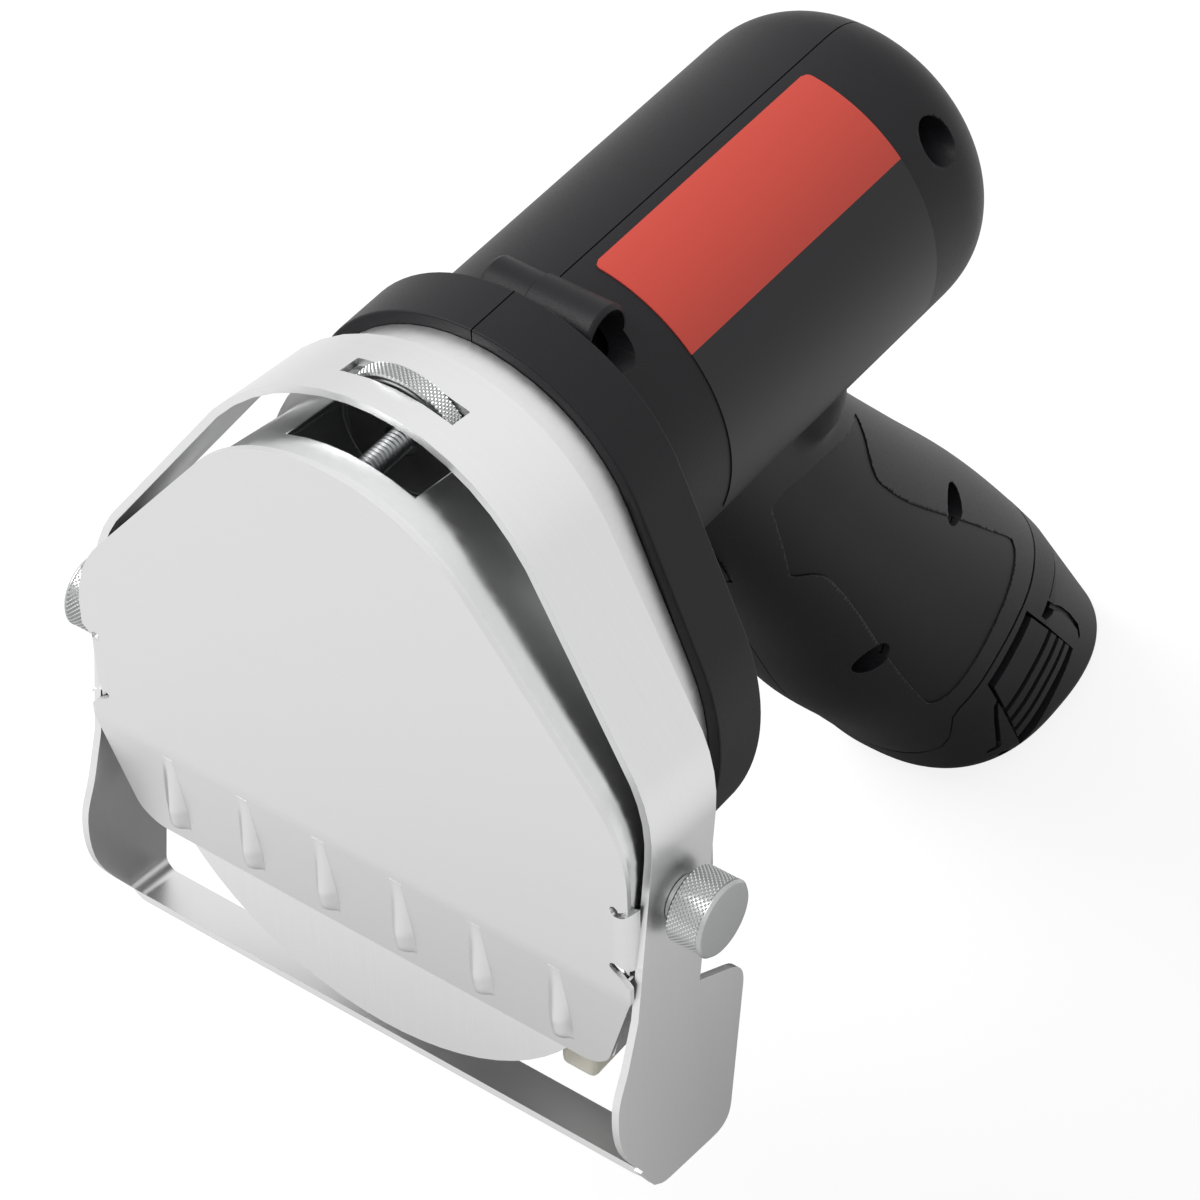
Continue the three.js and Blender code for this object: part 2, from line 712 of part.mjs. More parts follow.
function endCap() {
  const plug = MOTOR_RADIUS - MOTOR_WALL - SEAM_GAP;
  const back = motorBack + FIT_GAP + END_CAP_THICKNESS / 2;
  const cap = turned([
    [MOTOR_SHAFT_RADIUS + 2 * RUN_GAP, motorBack - END_CAP_THICKNESS / 2],
    [plug, motorBack - END_CAP_THICKNESS / 2],
    [plug, motorBack + FIT_GAP],
    [MOTOR_RADIUS, motorBack + FIT_GAP],
    [MOTOR_RADIUS, back],
    [MOTOR_SHAFT_RADIUS + 2 * RUN_GAP, back],
    [MOTOR_SHAFT_RADIUS + 2 * RUN_GAP, motorBack - END_CAP_THICKNESS / 2],
  ], axisZ, 36);
  const posts = [-1, 1].map((side) => cylinderY(
    SHANK_RADIUS, back - EXTRA, back + POST_LENGTH, side * MOTOR_SCREW_SPREAD, axisZ,
  ));
  return join(cap, ...posts);
}

const boardFront = motorBack + END_CAP_THICKNESS / 2 + POST_LENGTH + 2 * FIT_GAP;

function board() {
  return cylinderY(BOARD_RADIUS, boardFront, boardFront + BOARD_THICKNESS, 0, axisZ);
}

// Handle frame: the group that leans back under the barrel

const handle = new THREE.Group();
handle.position.set(0, HANDLE_START, axisZ);
handle.rotation.x = HANDLE_TILT;
handle.updateMatrix();

function toWorld(solid) {
  return solid.transform(handle.matrix.elements);
}

// The handle's section at a few stations: place down to the parting, then half-width, half-depth and
// middle, all as shares

const handleStations = [
  [0, 0.62, 0.62, -0.06],
  [0.247, 0.7, 0.68, -0.08],
  [0.426, 0.82, 0.76, -0.1],
  [0.619, 0.91, 0.87, -0.09],
  [0.825, 0.97, 1, -0.08],
  [1.017, 1.02, 1, -0.015],
  [1.182, 1.07, 0.99, 0],
  [1.512, 0.92, 1.06, -0.16],
].map(([share, ...section]) => [share * PARTING, ...section]);
const RING_POINTS = 32;
const wide = 2 * HANDLE_HALF_WIDTH;
const handleEnd = 1.485 * PARTING;

// A place on the handle's side from shares of its half-depth and of the way down to the parting

function sidePoint([depthShare, downShare]) {
  return [depthShare * HANDLE_HALF_DEPTH, downShare * PARTING];
}

function stationAt(s) {
  const next = Math.max(1, handleStations.findIndex(([end]) => end >= s));
  const [s0, ...low] = handleStations[next - 1];
  const [s1, ...high] = handleStations[next];
  return low.map((value, i) => value + (high[i] - value) * (s - s0) / (s1 - s0));
}

function skinPoint(i, s, inset) {
  const [widthShare, depthShare, middleShare] = stationAt(s);
  const angle = 2 * Math.PI * i / RING_POINTS;
  const squared = (value) => Math.sign(value) * Math.abs(value) ** 0.8;
  return [
    (HANDLE_HALF_WIDTH * widthShare - inset) * squared(Math.cos(angle)),
    HANDLE_HALF_DEPTH * middleShare + (HANDLE_HALF_DEPTH * depthShare - inset) * squared(Math.sin(angle)),
    -s,
  ];
}

function skinRing(s, inset) {
  return Array.from({ length: RING_POINTS }, (_, i) => skinPoint(i, s, inset));
}

function stationsBetween(from, to) {
  return [from, ...handleStations.map(([s]) => s).filter((s) => s > from && s < to), to];
}

function handleBody(inset, from, to) {
  return loft(stationsBetween(from, to).map((s) => skinRing(s, inset)));
}

// A ring round the handle at one height above the ground

function levelRing(height, inset) {
  return Array.from({ length: RING_POINTS }, (_, i) => {
    let s = PARTING;
    for (let step = 0; step < 12; step += 1) {
      const [, n] = skinPoint(i, s, inset);
      s = (axisZ + n * Math.sin(HANDLE_TILT) - height) / Math.cos(HANDLE_TILT);
    }
    return skinPoint(i, s, inset);
  });
}

// The battery's outside: the handle's skin carried on to a level foot with rounded edges

const batteryTop = 0.412 * PARTING;
const footStart = 1.1 * PARTING;

function batteryShape(from) {
  const steps = 4;
  const foot = Array.from({ length: steps + 1 }, (_, i) => {
    const angle = Math.PI / 2 * i / steps;
    return levelRing(HANDLE_BOTTOM + FOOT_ROUND * (1 - Math.sin(angle)), FOOT_ROUND * (1 - Math.cos(angle)));
  });
  return loft([...stationsBetween(from, footStart).map((s) => skinRing(s, 0)), ...foot]);
}

// Where the battery leaves the housing: a line across the handle's side, from its back to its front

function partingOutline(offset) {
  const line = [
    [1.5, 1.055], [0.89, 1.028], [0.63, 1.013], [0.17, 1.005], [-0.126, 0.998], [-0.504, 1.001],
    [-0.578, 1.008], [-0.704, 1.072], [-0.796, 1.094], [-0.963, 1.109], [-1.5, 1.12],
  ].map(sidePoint);
  const [back, front] = [line[0][0], line.at(-1)[0]];
  return [[front, 0], [back, 0], ...line.map(([n, s]) => [n, -s - offset])];
}

function abovePart(offset) {
  return prismX(partingOutline(offset), -wide, wide);
}

// The grip panel's outline on the handle's side

function panelOutline(inset) {
  const corners = [
    [0.548, 0.41], [0.059, 0.315], [-0.356, 0.276], [-0.619, 0.427], [-0.467, 0.47], [-0.496, 0.57],
    [-0.641, 0.781], [-0.674, 0.951], [-0.185, 0.952], [0.259, 0.946], [0.667, 0.943], [0.467, 0.742],
    [0.267, 0.564], [0.244, 0.457],
  ].map(sidePoint);
  return inward(rounded(corners.map(([n, s]) => [n, -s]), PANEL_CORNER), inset);
}

const handleScrews = [[0.5, 0.715], [-0.665, 0.718]].map(sidePoint);

function panelLayer(proud, depth, inset) {
  const layer = handleBody(-proud, 1, handleEnd).subtract(handleBody(depth, 0.5, handleEnd + EXTRA));
  return layer.intersect(prismX(panelOutline(inset), -wide, wide));
}

// Trigger with a stop behind the housing's wall, and the switch it presses

const triggerLow = -TRIGGER_TOP - TRIGGER_LENGTH;
const triggerFace = skinPoint(0.75 * RING_POINTS, TRIGGER_TOP + TRIGGER_LENGTH / 2, 0)[1];
const stopFront = triggerFace + 2 * HOUSING_WALL + 2 * EXTRA;
const switchFront = stopFront + STOP_DEPTH + TRIGGER_TRAVEL + SEAM_GAP;

function triggerOpening() {
  const gap = SEAM_GAP;
  return box(
    [-TRIGGER_WIDTH / 2 - gap, triggerFace - TRIGGER_REACH, triggerLow - gap],
    [TRIGGER_WIDTH / 2 + gap, stopFront, -TRIGGER_TOP + gap],
  );
}

function trigger() {
  const front = triggerFace - TRIGGER_REACH;
  const profile = [
    [stopFront + STOP_DEPTH, -TRIGGER_TOP],
    [front + 5, -TRIGGER_TOP],
    [front + 1.5, -TRIGGER_TOP - 4],
    [front + 2.5, -TRIGGER_TOP - TRIGGER_LENGTH / 2],
    [front, triggerLow + 6],
    [front + 4, triggerLow],
    [stopFront + STOP_DEPTH, triggerLow],
  ];
  const stop = box(
    [-TRIGGER_WIDTH / 2 - STOP_WIDTH, stopFront, triggerLow],
    [TRIGGER_WIDTH / 2 + STOP_WIDTH, stopFront + STOP_DEPTH, -TRIGGER_TOP],
  );
  return prismX(profile, -TRIGGER_WIDTH / 2, TRIGGER_WIDTH / 2).add(stop);
}

function triggerSwitch(gap) {
  return box(
    [-TRIGGER_WIDTH / 2 - gap, switchFront - gap, triggerLow - gap],
    [TRIGGER_WIDTH / 2 + gap, switchFront + SWITCH_DEPTH + gap, -TRIGGER_TOP + gap],
  );
}

// Ribs across the handle that hold the switch

function cradle() {
  const ribs = [0.25, 0.75].map((share) => {
    const z = -TRIGGER_TOP - TRIGGER_LENGTH * share;
    return box([-wide, switchFront + 2, z - CRADLE_WIDTH / 2], [wide, wide, z + CRADLE_WIDTH / 2]);
  });
  return cut(join(...ribs), triggerSwitch(FIT_GAP));
}

// Battery: case with a sleeve of cells, the cap that carries the terminals, and the side latches

const cellPitch = 2 * CELL_RADIUS + CELL_GAP;
const cellTop = CELL_BOTTOM - CELL_LENGTH;
const capTop = cellTop - FIT_GAP - TERMINAL_CAP_THICKNESS;

function cellCentres() {
  return [-0.5, 0.5].flatMap((column) => [-0.5, 0.5].map((row) => (
    [column * cellPitch, CELL_MIDDLE + row * cellPitch]
  )));
}

function cellBundle(offset, from, to) {
  const outline = hull(cellCentres().flatMap(([x, n]) => circle(x, n, CELL_RADIUS + offset, SEGMENTS)));
  return prismZ(outline, -to, -from);
}

function batteryCase() {
  const outside = batteryShape(batteryTop).subtract(abovePart(SEAM_GAP));
  const sleeve = cellBundle(CELL_GAP + SLEEVE_WALL, capTop, CELL_BOTTOM);
  const cavity = cellBundle(CELL_GAP, capTop - EXTRA, CELL_BOTTOM + FIT_GAP);
  return mainBody(cut(join(outside, sleeve), cavity, latchPocket(-1), latchPocket(1)));
}

function latchBlock(side, gap, depth) {
  const outer = skinPoint(0, LATCH_MIDDLE_S, 0)[0];
  const x = [side * (outer - depth - gap), side * (outer + EXTRA)].sort((a, b) => a - b);
  return box(
    [x[0], LATCH_MIDDLE_N - LATCH_LENGTH / 2 - gap, -LATCH_MIDDLE_S - LATCH_HEIGHT / 2 - gap],
    [x[1], LATCH_MIDDLE_N + LATCH_LENGTH / 2 + gap, -LATCH_MIDDLE_S + LATCH_HEIGHT / 2 + gap],
  );
}

function latchPocket(side) {
  return latchBlock(side, SEAM_GAP, LATCH_THICKNESS + LATCH_TRAVEL);
}

function latch(side) {
  return latchBlock(side, 0, LATCH_THICKNESS).intersect(handleBody(0, batteryTop, handleEnd));
}

function cell([x, n]) {
  const geometry = new THREE.CylinderGeometry(CELL_RADIUS, CELL_RADIUS, CELL_LENGTH, SEGMENTS);
  geometry.rotateX(Math.PI / 2);
  geometry.translate(x, n, -CELL_BOTTOM + CELL_LENGTH / 2);
  return toSolid(geometry);
}

// Housing: barrel, flange and handle in one shell, split down the middle

const barrelTop = axisZ + BARREL_RADIUS;
const topBossY = flangeBack + TOP_BOSS_RADIUS + FIT_GAP;
const topBossZ = barrelTop - TOP_BOSS_RADIUS / 3;

// Housing screws: [head's right end, y, z].

function handlePoint(n, s) {
  const point = new THREE.Vector3(0, n, -s).applyMatrix4(handle.matrix);
  return [point.y, point.z];
}

const screwPlaces = [
  [8, topBossY, topBossZ],
  [8, barrelEnd - 15.5, axisZ + 17.5],
  ...handleScrews.map(([n, s]) => [8, ...handlePoint(n, s)]),
];

function barrelProfile(inset, front) {
  const radius = BARREL_RADIUS - inset;
  const end = barrelEnd - inset;
  const round = BARREL_ROUND - inset;
  const steps = 6;
  const curve = Array.from({ length: steps + 1 }, (_, i) => {
    const angle = Math.PI / 2 * i / steps;
    return [radius - round + round * Math.cos(angle), end - round + round * Math.sin(angle)];
  });
  return [[0, front], [radius, front], ...curve, [0, end]];
}

function housingOutside() {
  const barrel = turned(barrelProfile(0, flangeFront + 1), axisZ, 48);
  const flange = prismY(caseOutline(FLANGE_LIP), flangeFront, flangeBack);
  const boss = cylinderX(TOP_BOSS_RADIUS, -TOP_BOSS_LEFT, TOP_BOSS_RIGHT, topBossY, topBossZ);
  const grip = toWorld(handleBody(0, 1, handleEnd).intersect(abovePart(0)));
  return join(barrel, flange, boss, grip);
}

function housingInside() {
  const barrel = turned(barrelProfile(HOUSING_WALL, flangeFront - EXTRA), axisZ, 48);
  const lining = caseOutline(FLANGE_LIP - HOUSING_WALL);
  const flange = prismY(lining, flangeFront - EXTRA, flangeBack - HOUSING_WALL);
  const grip = toWorld(handleBody(HOUSING_WALL, 2, handleEnd));
  return join(barrel, flange, grip);
}

function housing() {
  const posts = screwPlaces.slice(1).map(([, y, z]) => cylinderX(RECESS_RADIUS + 1.4, -wide, wide, y, z, 16));
  const outside = housingOutside();
  const shell = outside.subtract(housingInside());
  const stiff = join(shell, ...[...posts, toWorld(cradle())].map((rib) => rib.intersect(outside)));
  const holes = screwPlaces.flatMap(([x, y, z]) => [
    cylinderX(SHANK_RADIUS + FIT_GAP, x - HEAD_HEIGHT - SCREW_LENGTH - FIT_GAP, wide, y, z, 12),
    cylinderX(RECESS_RADIUS, x - HEAD_HEIGHT - FIT_GAP, wide, y, z, 16),
  ]);
  const pockets = toWorld(panelLayer(EXTRA, PANEL_DEPTH + FIT_GAP, 0));
  return cut(stiff, ...holes, pockets, toWorld(triggerOpening()));
}

const wholeHousing = housing();
const halfSpace = 500;
const rightHalf = box([SEAM_GAP / 2, -halfSpace, -halfSpace], [halfSpace, halfSpace, halfSpace]);
const leftHalf = box([-halfSpace, -halfSpace, -halfSpace], [-SEAM_GAP / 2, halfSpace, halfSpace]);

// Labels: thin sheets wrapped on the barrel's right side

function label(fromAngle, toAngle) {
  const steps = 10;
  const inner = BARREL_RADIUS + FIT_GAP;
  const arc = (radius) => Array.from({ length: steps + 1 }, (_, i) => {
    const angle = THREE.MathUtils.degToRad(fromAngle + (toAngle - fromAngle) * i / steps);
    return [radius * Math.sin(angle), axisZ + radius * Math.cos(angle)];
  });
  const outline = [...arc(inner + LABEL_THICKNESS), ...arc(inner).reverse()];
  return prismY(outline, flangeBack + LABEL_START, flangeBack + LABEL_START + LABEL_LENGTH);
}

// Guide hoop

function hoopOutline(inset) {
  const top = HOOP_TOP_RADIUS - inset;
  return hull([
    ...circle(0, hoopTop - HOOP_TOP_RADIUS, top),
    ...shoulders(hoopHalfWidth - inset, HOOP_SHOULDER_RADIUS - inset, HOOP_SHOULDER_HEIGHT),
    ...both(circle(hoopHalfWidth - HOOP_CORNER, HOOP_BOTTOM + HOOP_CORNER, HOOP_CORNER - inset, 24)),
  ]);
}

// The legs' front edge swells forward below the pivots and curves back to the bar
function hoopSide(back) {
  const legEdge = new THREE.SplineCurve([
    new THREE.Vector2(STRIP_FRONT, -10),
    new THREE.Vector2(STRIP_FRONT - 1.6, -19),
    new THREE.Vector2(STRIP_FRONT - 3.4, -27.5),
    new THREE.Vector2(STRIP_FRONT - 0.6, -38.5),
    new THREE.Vector2(BAR_FRONT, HOOP_BOTTOM + HOOP_SHEET),
  ]);
  return [
    [CROWN_FRONT, hoopTop + EXTRA],
    [CROWN_FRONT, 70],
    [STRIP_FRONT, 30],
    ...legEdge.getPoints(20).map(({ x, y }) => [x, y]),
    [BAR_FRONT, HOOP_BOTTOM - EXTRA],
    [back, HOOP_BOTTOM - EXTRA],
    [back, hoopTop + EXTRA],
  ];
}

function hoop() {
  const sheet = cut(
    prismY(hoopOutline(0), STRIP_FRONT - 6, FLAG_BACK + EXTRA),
    prismY(hoopOutline(HOOP_SHEET), STRIP_FRONT - 7, FLAG_BACK + 2 * EXTRA),
  );
  const reach = hoopHalfWidth + EXTRA;
  const strip = sheet.intersect(prismX(hoopSide(STRIP_BACK), -reach, reach));
  const flagBottom = HOOP_BOTTOM - FLAG_DROP;
  const flagSide = rounded([
    [STRIP_BACK - 8, -9.6], [FLAG_BACK, -18.4], [FLAG_BACK, flagBottom], [STRIP_BACK - 8, flagBottom],
  ], FLAG_CORNER, 7);
  const footSide = [
    [STRIP_BACK, flagBottom], [BAR_FRONT + 5, flagBottom], [BAR_FRONT + 2.4, HOOP_BOTTOM - 1.4],
    [BAR_FRONT + 0.2, HOOP_BOTTOM - 0.2], [BAR_FRONT - 2, HOOP_BOTTOM + 2.6],
    [BAR_FRONT - 4.2, HOOP_BOTTOM + 5.6], [STRIP_BACK, -40],
  ];
  const flag = join(...[flagSide, footSide].map(
    (side) => prismX(side, hoopHalfWidth - HOOP_SHEET, hoopHalfWidth),
  ));
  const slotY = PIVOT_Y + (WHEEL_Y - PIVOT_Y) * Math.cos(HOOP_LEAN)
    - (hoopTop - PIVOT_Z) * Math.tan(HOOP_LEAN) * Math.cos(HOOP_LEAN);
  const slot = box(
    [-SLOT_LENGTH / 2, slotY - SLOT_WIDTH / 2, axisZ],
    [SLOT_LENGTH / 2, slotY + SLOT_WIDTH / 2, hoopTop + EXTRA],
  );
  const pivotHoles = cylinderX(SCREW_RADIUS + RUN_GAP, -wide * 2, wide * 2, PIVOT_Y, PIVOT_Z);
  const upright = cut(join(strip, flag), slot, pivotHoles);
  const lean = new THREE.Matrix4().makeTranslation(0, PIVOT_Y, PIVOT_Z)
    .multiply(new THREE.Matrix4().makeRotationX(-HOOP_LEAN))
    .multiply(new THREE.Matrix4().makeTranslation(0, -PIVOT_Y, -PIVOT_Z));
  return upright.transform(lean.elements);
}

function adjusterWheel() {
  const half = WHEEL_THICKNESS / 2;
  return ring(WHEEL_RADIUS, STUD_RADIUS + WHEEL_BORE_GAP, WHEEL_Y - half, WHEEL_Y + half, studHeight, 36);
}

function adjusterStud() {
  const front = shroudFront + WINDOW_FRONT + EXTRA;
  return cylinderY(STUD_RADIUS, front, caseFront + CASE_FRONT_WALL - 2 * EXTRA, 0, studHeight, 16);
}

// Thumbscrews that the hoop turns on, and the nuts they screw into

function thumbscrew(side) {
  const neckStart = hoopHalfWidth + FIT_GAP;
  const knobStart = neckStart + NECK_LENGTH;
  const span = (from, to) => [side * from, side * to].sort((a, b) => a - b);
  const nutEnd = shroudHalfWidth - SHEET - FIT_GAP - PIVOT_NUT_LENGTH;
  return join(
    cylinderX(KNOB_RADIUS, ...span(knobStart, knobStart + KNOB_LENGTH), PIVOT_Y, PIVOT_Z, 32),
    cylinderX(NECK_RADIUS, ...span(neckStart, knobStart + EXTRA), PIVOT_Y, PIVOT_Z),
    cylinderX(SCREW_RADIUS, ...span(nutEnd, neckStart + EXTRA), PIVOT_Y, PIVOT_Z),
  );
}

function pivotNut(side) {
  const outer = shroudHalfWidth - SHEET - FIT_GAP;
  const span = [side * outer, side * (outer - PIVOT_NUT_LENGTH)].sort((a, b) => a - b);
  return cut(
    cylinderX(PIVOT_NUT_RADIUS, ...span, PIVOT_Y, PIVOT_Z, 6),
    cylinderX(SCREW_RADIUS + RUN_GAP, -wide * 2, wide * 2, PIVOT_Y, PIVOT_Z),
  );
}

// Assembly

place(root, 'guard_plate', guardPlate(), STAINLESS);
place(root, 'blade_shroud', shroud(), STAINLESS);
place(root, 'blade', blade(), STAINLESS);
place(root, 'blade_spindle', spindle(), STEEL);
place(root, 'blade_nut', bladeNut(), STEEL);
place(root, 'driven_gear', spurGear(GEAR_TEETH, Math.PI / 2, 0, SPINDLE_RADIUS), STEEL);
const pinionPhase = -Math.PI / 2 + Math.PI / PINION_TEETH;
place(root, 'pinion', spurGear(PINION_TEETH, pinionPhase, axisZ, MOTOR_SHAFT_RADIUS), STEEL);
place(root, 'gear_case', gearCase(), CAST_ALLOY);
place(root, 'gear_cover', gearCover(), CAST_ALLOY);
const bearingStart = caseFront - FRONT_BEARING_WIDTH - FIT_GAP;
place(root, 'front_bearing', ring(
  FRONT_BEARING_RADIUS, SPINDLE_RADIUS + RUN_GAP, bearingStart, bearingStart + FRONT_BEARING_WIDTH,
), STEEL);
place(root, 'rear_bearing', ring(REAR_BEARING_RADIUS, STUB_RADIUS + RUN_GAP, coverFront, coverBack), STEEL);
coverScrewPlaces().forEach(([x, z], i) => {
  const screw = screwY(x, z, coverBack + FIT_GAP + HEAD_HEIGHT, COVER_THICKNESS + HEAD_HEIGHT);
  place(root, `cover_screw_${i + 1}`, screw, STEEL);
});

place(root, 'motor_screw_1', motorScrew(-1), STEEL);
place(root, 'motor_screw_2', motorScrew(1), STEEL);

place(root, 'motor_can', motorCan(), STEEL);
place(root, 'motor_shaft', cylinderY(
  MOTOR_SHAFT_RADIUS, gearFront, motorBack + END_CAP_THICKNESS / 2, 0, axisZ,
), STEEL);
place(root, 'armature', armature(), COPPER);
place(root, 'motor_end_cap', endCap(), BLACK_PLASTIC);
place(root, 'control_board', board(), GREEN_BOARD);

place(root, 'housing_right', mainBody(wholeHousing.intersect(rightHalf)), BLACK_PLASTIC);
place(root, 'housing_left', mainBody(wholeHousing.intersect(leftHalf)), BLACK_PLASTIC);
screwPlaces.forEach(([x, y, z], i) => {
  place(root, `housing_screw_${i + 1}`, screwX(x, y, z, SCREW_LENGTH), STEEL);
});
place(root, 'label_red', label(LABEL_TOP_ANGLE, LABEL_SPLIT_ANGLE), RED_LABEL);
place(root, 'label_black', label(LABEL_SPLIT_ANGLE + LABEL_SPLIT, LABEL_LOW_ANGLE), BLACK_LABEL);

place(root, 'guide_hoop', hoop(), STAINLESS);
place(root, 'adjuster_stud', adjusterStud(), STEEL);
place(root, 'adjuster_wheel', adjusterWheel(), STEEL);
for (const [name, side] of [['left', -1], ['right', 1]]) {
  place(root, `thumbscrew_${name}`, thumbscrew(side), STEEL);
  place(root, `pivot_nut_${name}`, pivotNut(side), STEEL);
}
place(root, 'blade_pad', pad(), NYLON);

root.add(handle);
const screwRooms = handleScrews.map(([n, s]) => cylinderX(RECESS_RADIUS, 0, wide, n, -s, 16));
const panels = cut(panelLayer(0, PANEL_DEPTH, SEAM_GAP), ...screwRooms);
place(handle, 'grip_panel_right', panels.intersect(rightHalf), BLACK_GRIP);
place(handle, 'grip_panel_left', panels.intersect(leftHalf), BLACK_GRIP);
place(handle, 'trigger', trigger(), BLACK_PLASTIC);
place(handle, 'trigger_switch', triggerSwitch(0), BLACK_PLASTIC);
place(handle, 'battery_case', batteryCase(), BLACK_PLASTIC);
place(handle, 'terminal_cap', cellBundle(CELL_GAP - FIT_GAP, capTop, cellTop - FIT_GAP), BLACK_PLASTIC);
cellCentres().forEach((centre, i) => place(handle, `cell_${i + 1}`, cell(centre), BLUE_WRAP));
place(handle, 'latch_left', latch(-1), BLACK_PLASTIC);
place(handle, 'latch_right', latch(1), BLACK_PLASTIC);

// Stand the tool on its battery, with the middle of its length and width over the origin

const bounds = new THREE.Box3().setFromObject(root, true);
root.position.set(
  -(bounds.min.x + bounds.max.x) / 2,
  -(bounds.min.y + bounds.max.y) / 2,
  -bounds.min.z,
);

export default root;
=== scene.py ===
"""Cordless kebab slicer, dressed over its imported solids.

Sizes are in millimetres and are laid out from the middle of the blade's front face, with X to the
tool's right, Y back along the motor and Z up. The function at() turns such a place into metres.
"""
import json
import logging
import math
from collections.abc import Callable, Iterator, Sequence
from contextlib import contextmanager
from dataclasses import dataclass
from enum import Enum

import bpy
from mathutils import Matrix, Vector


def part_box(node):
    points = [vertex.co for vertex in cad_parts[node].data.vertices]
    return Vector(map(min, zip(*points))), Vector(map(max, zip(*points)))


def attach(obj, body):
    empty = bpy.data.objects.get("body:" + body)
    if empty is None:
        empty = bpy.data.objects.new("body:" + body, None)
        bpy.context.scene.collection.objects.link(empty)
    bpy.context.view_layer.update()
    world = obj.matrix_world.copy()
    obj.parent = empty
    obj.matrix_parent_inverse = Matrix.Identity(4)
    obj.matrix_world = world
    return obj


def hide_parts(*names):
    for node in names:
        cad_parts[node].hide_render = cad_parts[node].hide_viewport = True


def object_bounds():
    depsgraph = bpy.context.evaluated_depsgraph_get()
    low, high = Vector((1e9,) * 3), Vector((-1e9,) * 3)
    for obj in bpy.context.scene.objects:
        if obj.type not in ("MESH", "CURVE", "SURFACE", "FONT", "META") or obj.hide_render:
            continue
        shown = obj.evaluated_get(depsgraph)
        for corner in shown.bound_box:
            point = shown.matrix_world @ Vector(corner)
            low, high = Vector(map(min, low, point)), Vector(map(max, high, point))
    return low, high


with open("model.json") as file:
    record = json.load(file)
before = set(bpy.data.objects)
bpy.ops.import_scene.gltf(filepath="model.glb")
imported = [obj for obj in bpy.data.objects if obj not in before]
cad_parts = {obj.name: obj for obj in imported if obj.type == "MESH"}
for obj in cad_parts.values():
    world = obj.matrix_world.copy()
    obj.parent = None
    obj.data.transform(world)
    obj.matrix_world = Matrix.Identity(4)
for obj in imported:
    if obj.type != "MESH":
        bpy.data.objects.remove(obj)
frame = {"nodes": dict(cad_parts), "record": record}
CAD_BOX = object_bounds()

LOG = logging.getLogger("kebab_slicer")
MM = 0.001
BLADE_LOW, BLADE_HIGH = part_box("blade")
LAYOUT = Vector((0.0, BLADE_LOW.y, (BLADE_LOW.z + BLADE_HIGH.z) / 2))
Outline = list[tuple[float, float]]


def at(x: float, y: float, z: float) -> Vector:
    """Turn a place in the tool's layout into the row frame.

    Args:
        x: Distance to the right of the blade's middle, in millimetres.
        y: Distance behind the blade's front face, in millimetres.
        z: Height above the blade's middle, in millimetres.

    Returns:
        The same place in metres.
    """
    return LAYOUT + Vector((x, y, z)) * MM


class Axis(Enum):
    """Directions of the row frame."""

    X = Vector((1.0, 0.0, 0.0))
    Y = Vector((0.0, 1.0, 0.0))
    Z = Vector((0.0, 0.0, 1.0))


class Way(Enum):
    """Ways to combine two solids."""

    ADD = "UNION"
    CUT = "DIFFERENCE"
    BOTH = "INTERSECT"


class Pattern(Enum):
    """Kinds of surface pattern, each named for how the surface was made."""

    ROLLED = "noise"
    PITTED = "voronoi"
    WOUND = "wave"


def linear(colour: str) -> tuple[float, float, float]:
    """Turn an sRGB hex colour into linear light.

    Args:
        colour: Colour such as "#c8c9ca".

    Returns:
        Red, green and blue from 0 to 1.
    """
    levels = [int(colour[i:i + 2], 16) / 255 for i in (1, 3, 5)]
    return tuple(v / 12.92 if v <= 0.04045 else ((v + 0.055) / 1.055) ** 2.4 for v in levels)


def add_node(
    tree: bpy.types.NodeTree, kind: str, inputs: dict[str | int, object] | None = None, **settings: object
) -> bpy.types.Node:
    """Add one shader node with its settings, values and links.

    Args:
        tree: Node tree that gets the node.
        kind: Blender's name for the node type.
        inputs: Value or linked output socket for each named or numbered input.
        **settings: Properties of the node itself.

    Returns:
        The new node.
    """
    node = tree.nodes.new(kind)
    for key, value in settings.items():
        setattr(node, key, value)
    for key, value in (inputs or {}).items():
        if isinstance(value, bpy.types.NodeSocket):
            tree.links.new(value, node.inputs[key])
        else:
            node.inputs[key].default_value = value
    return node


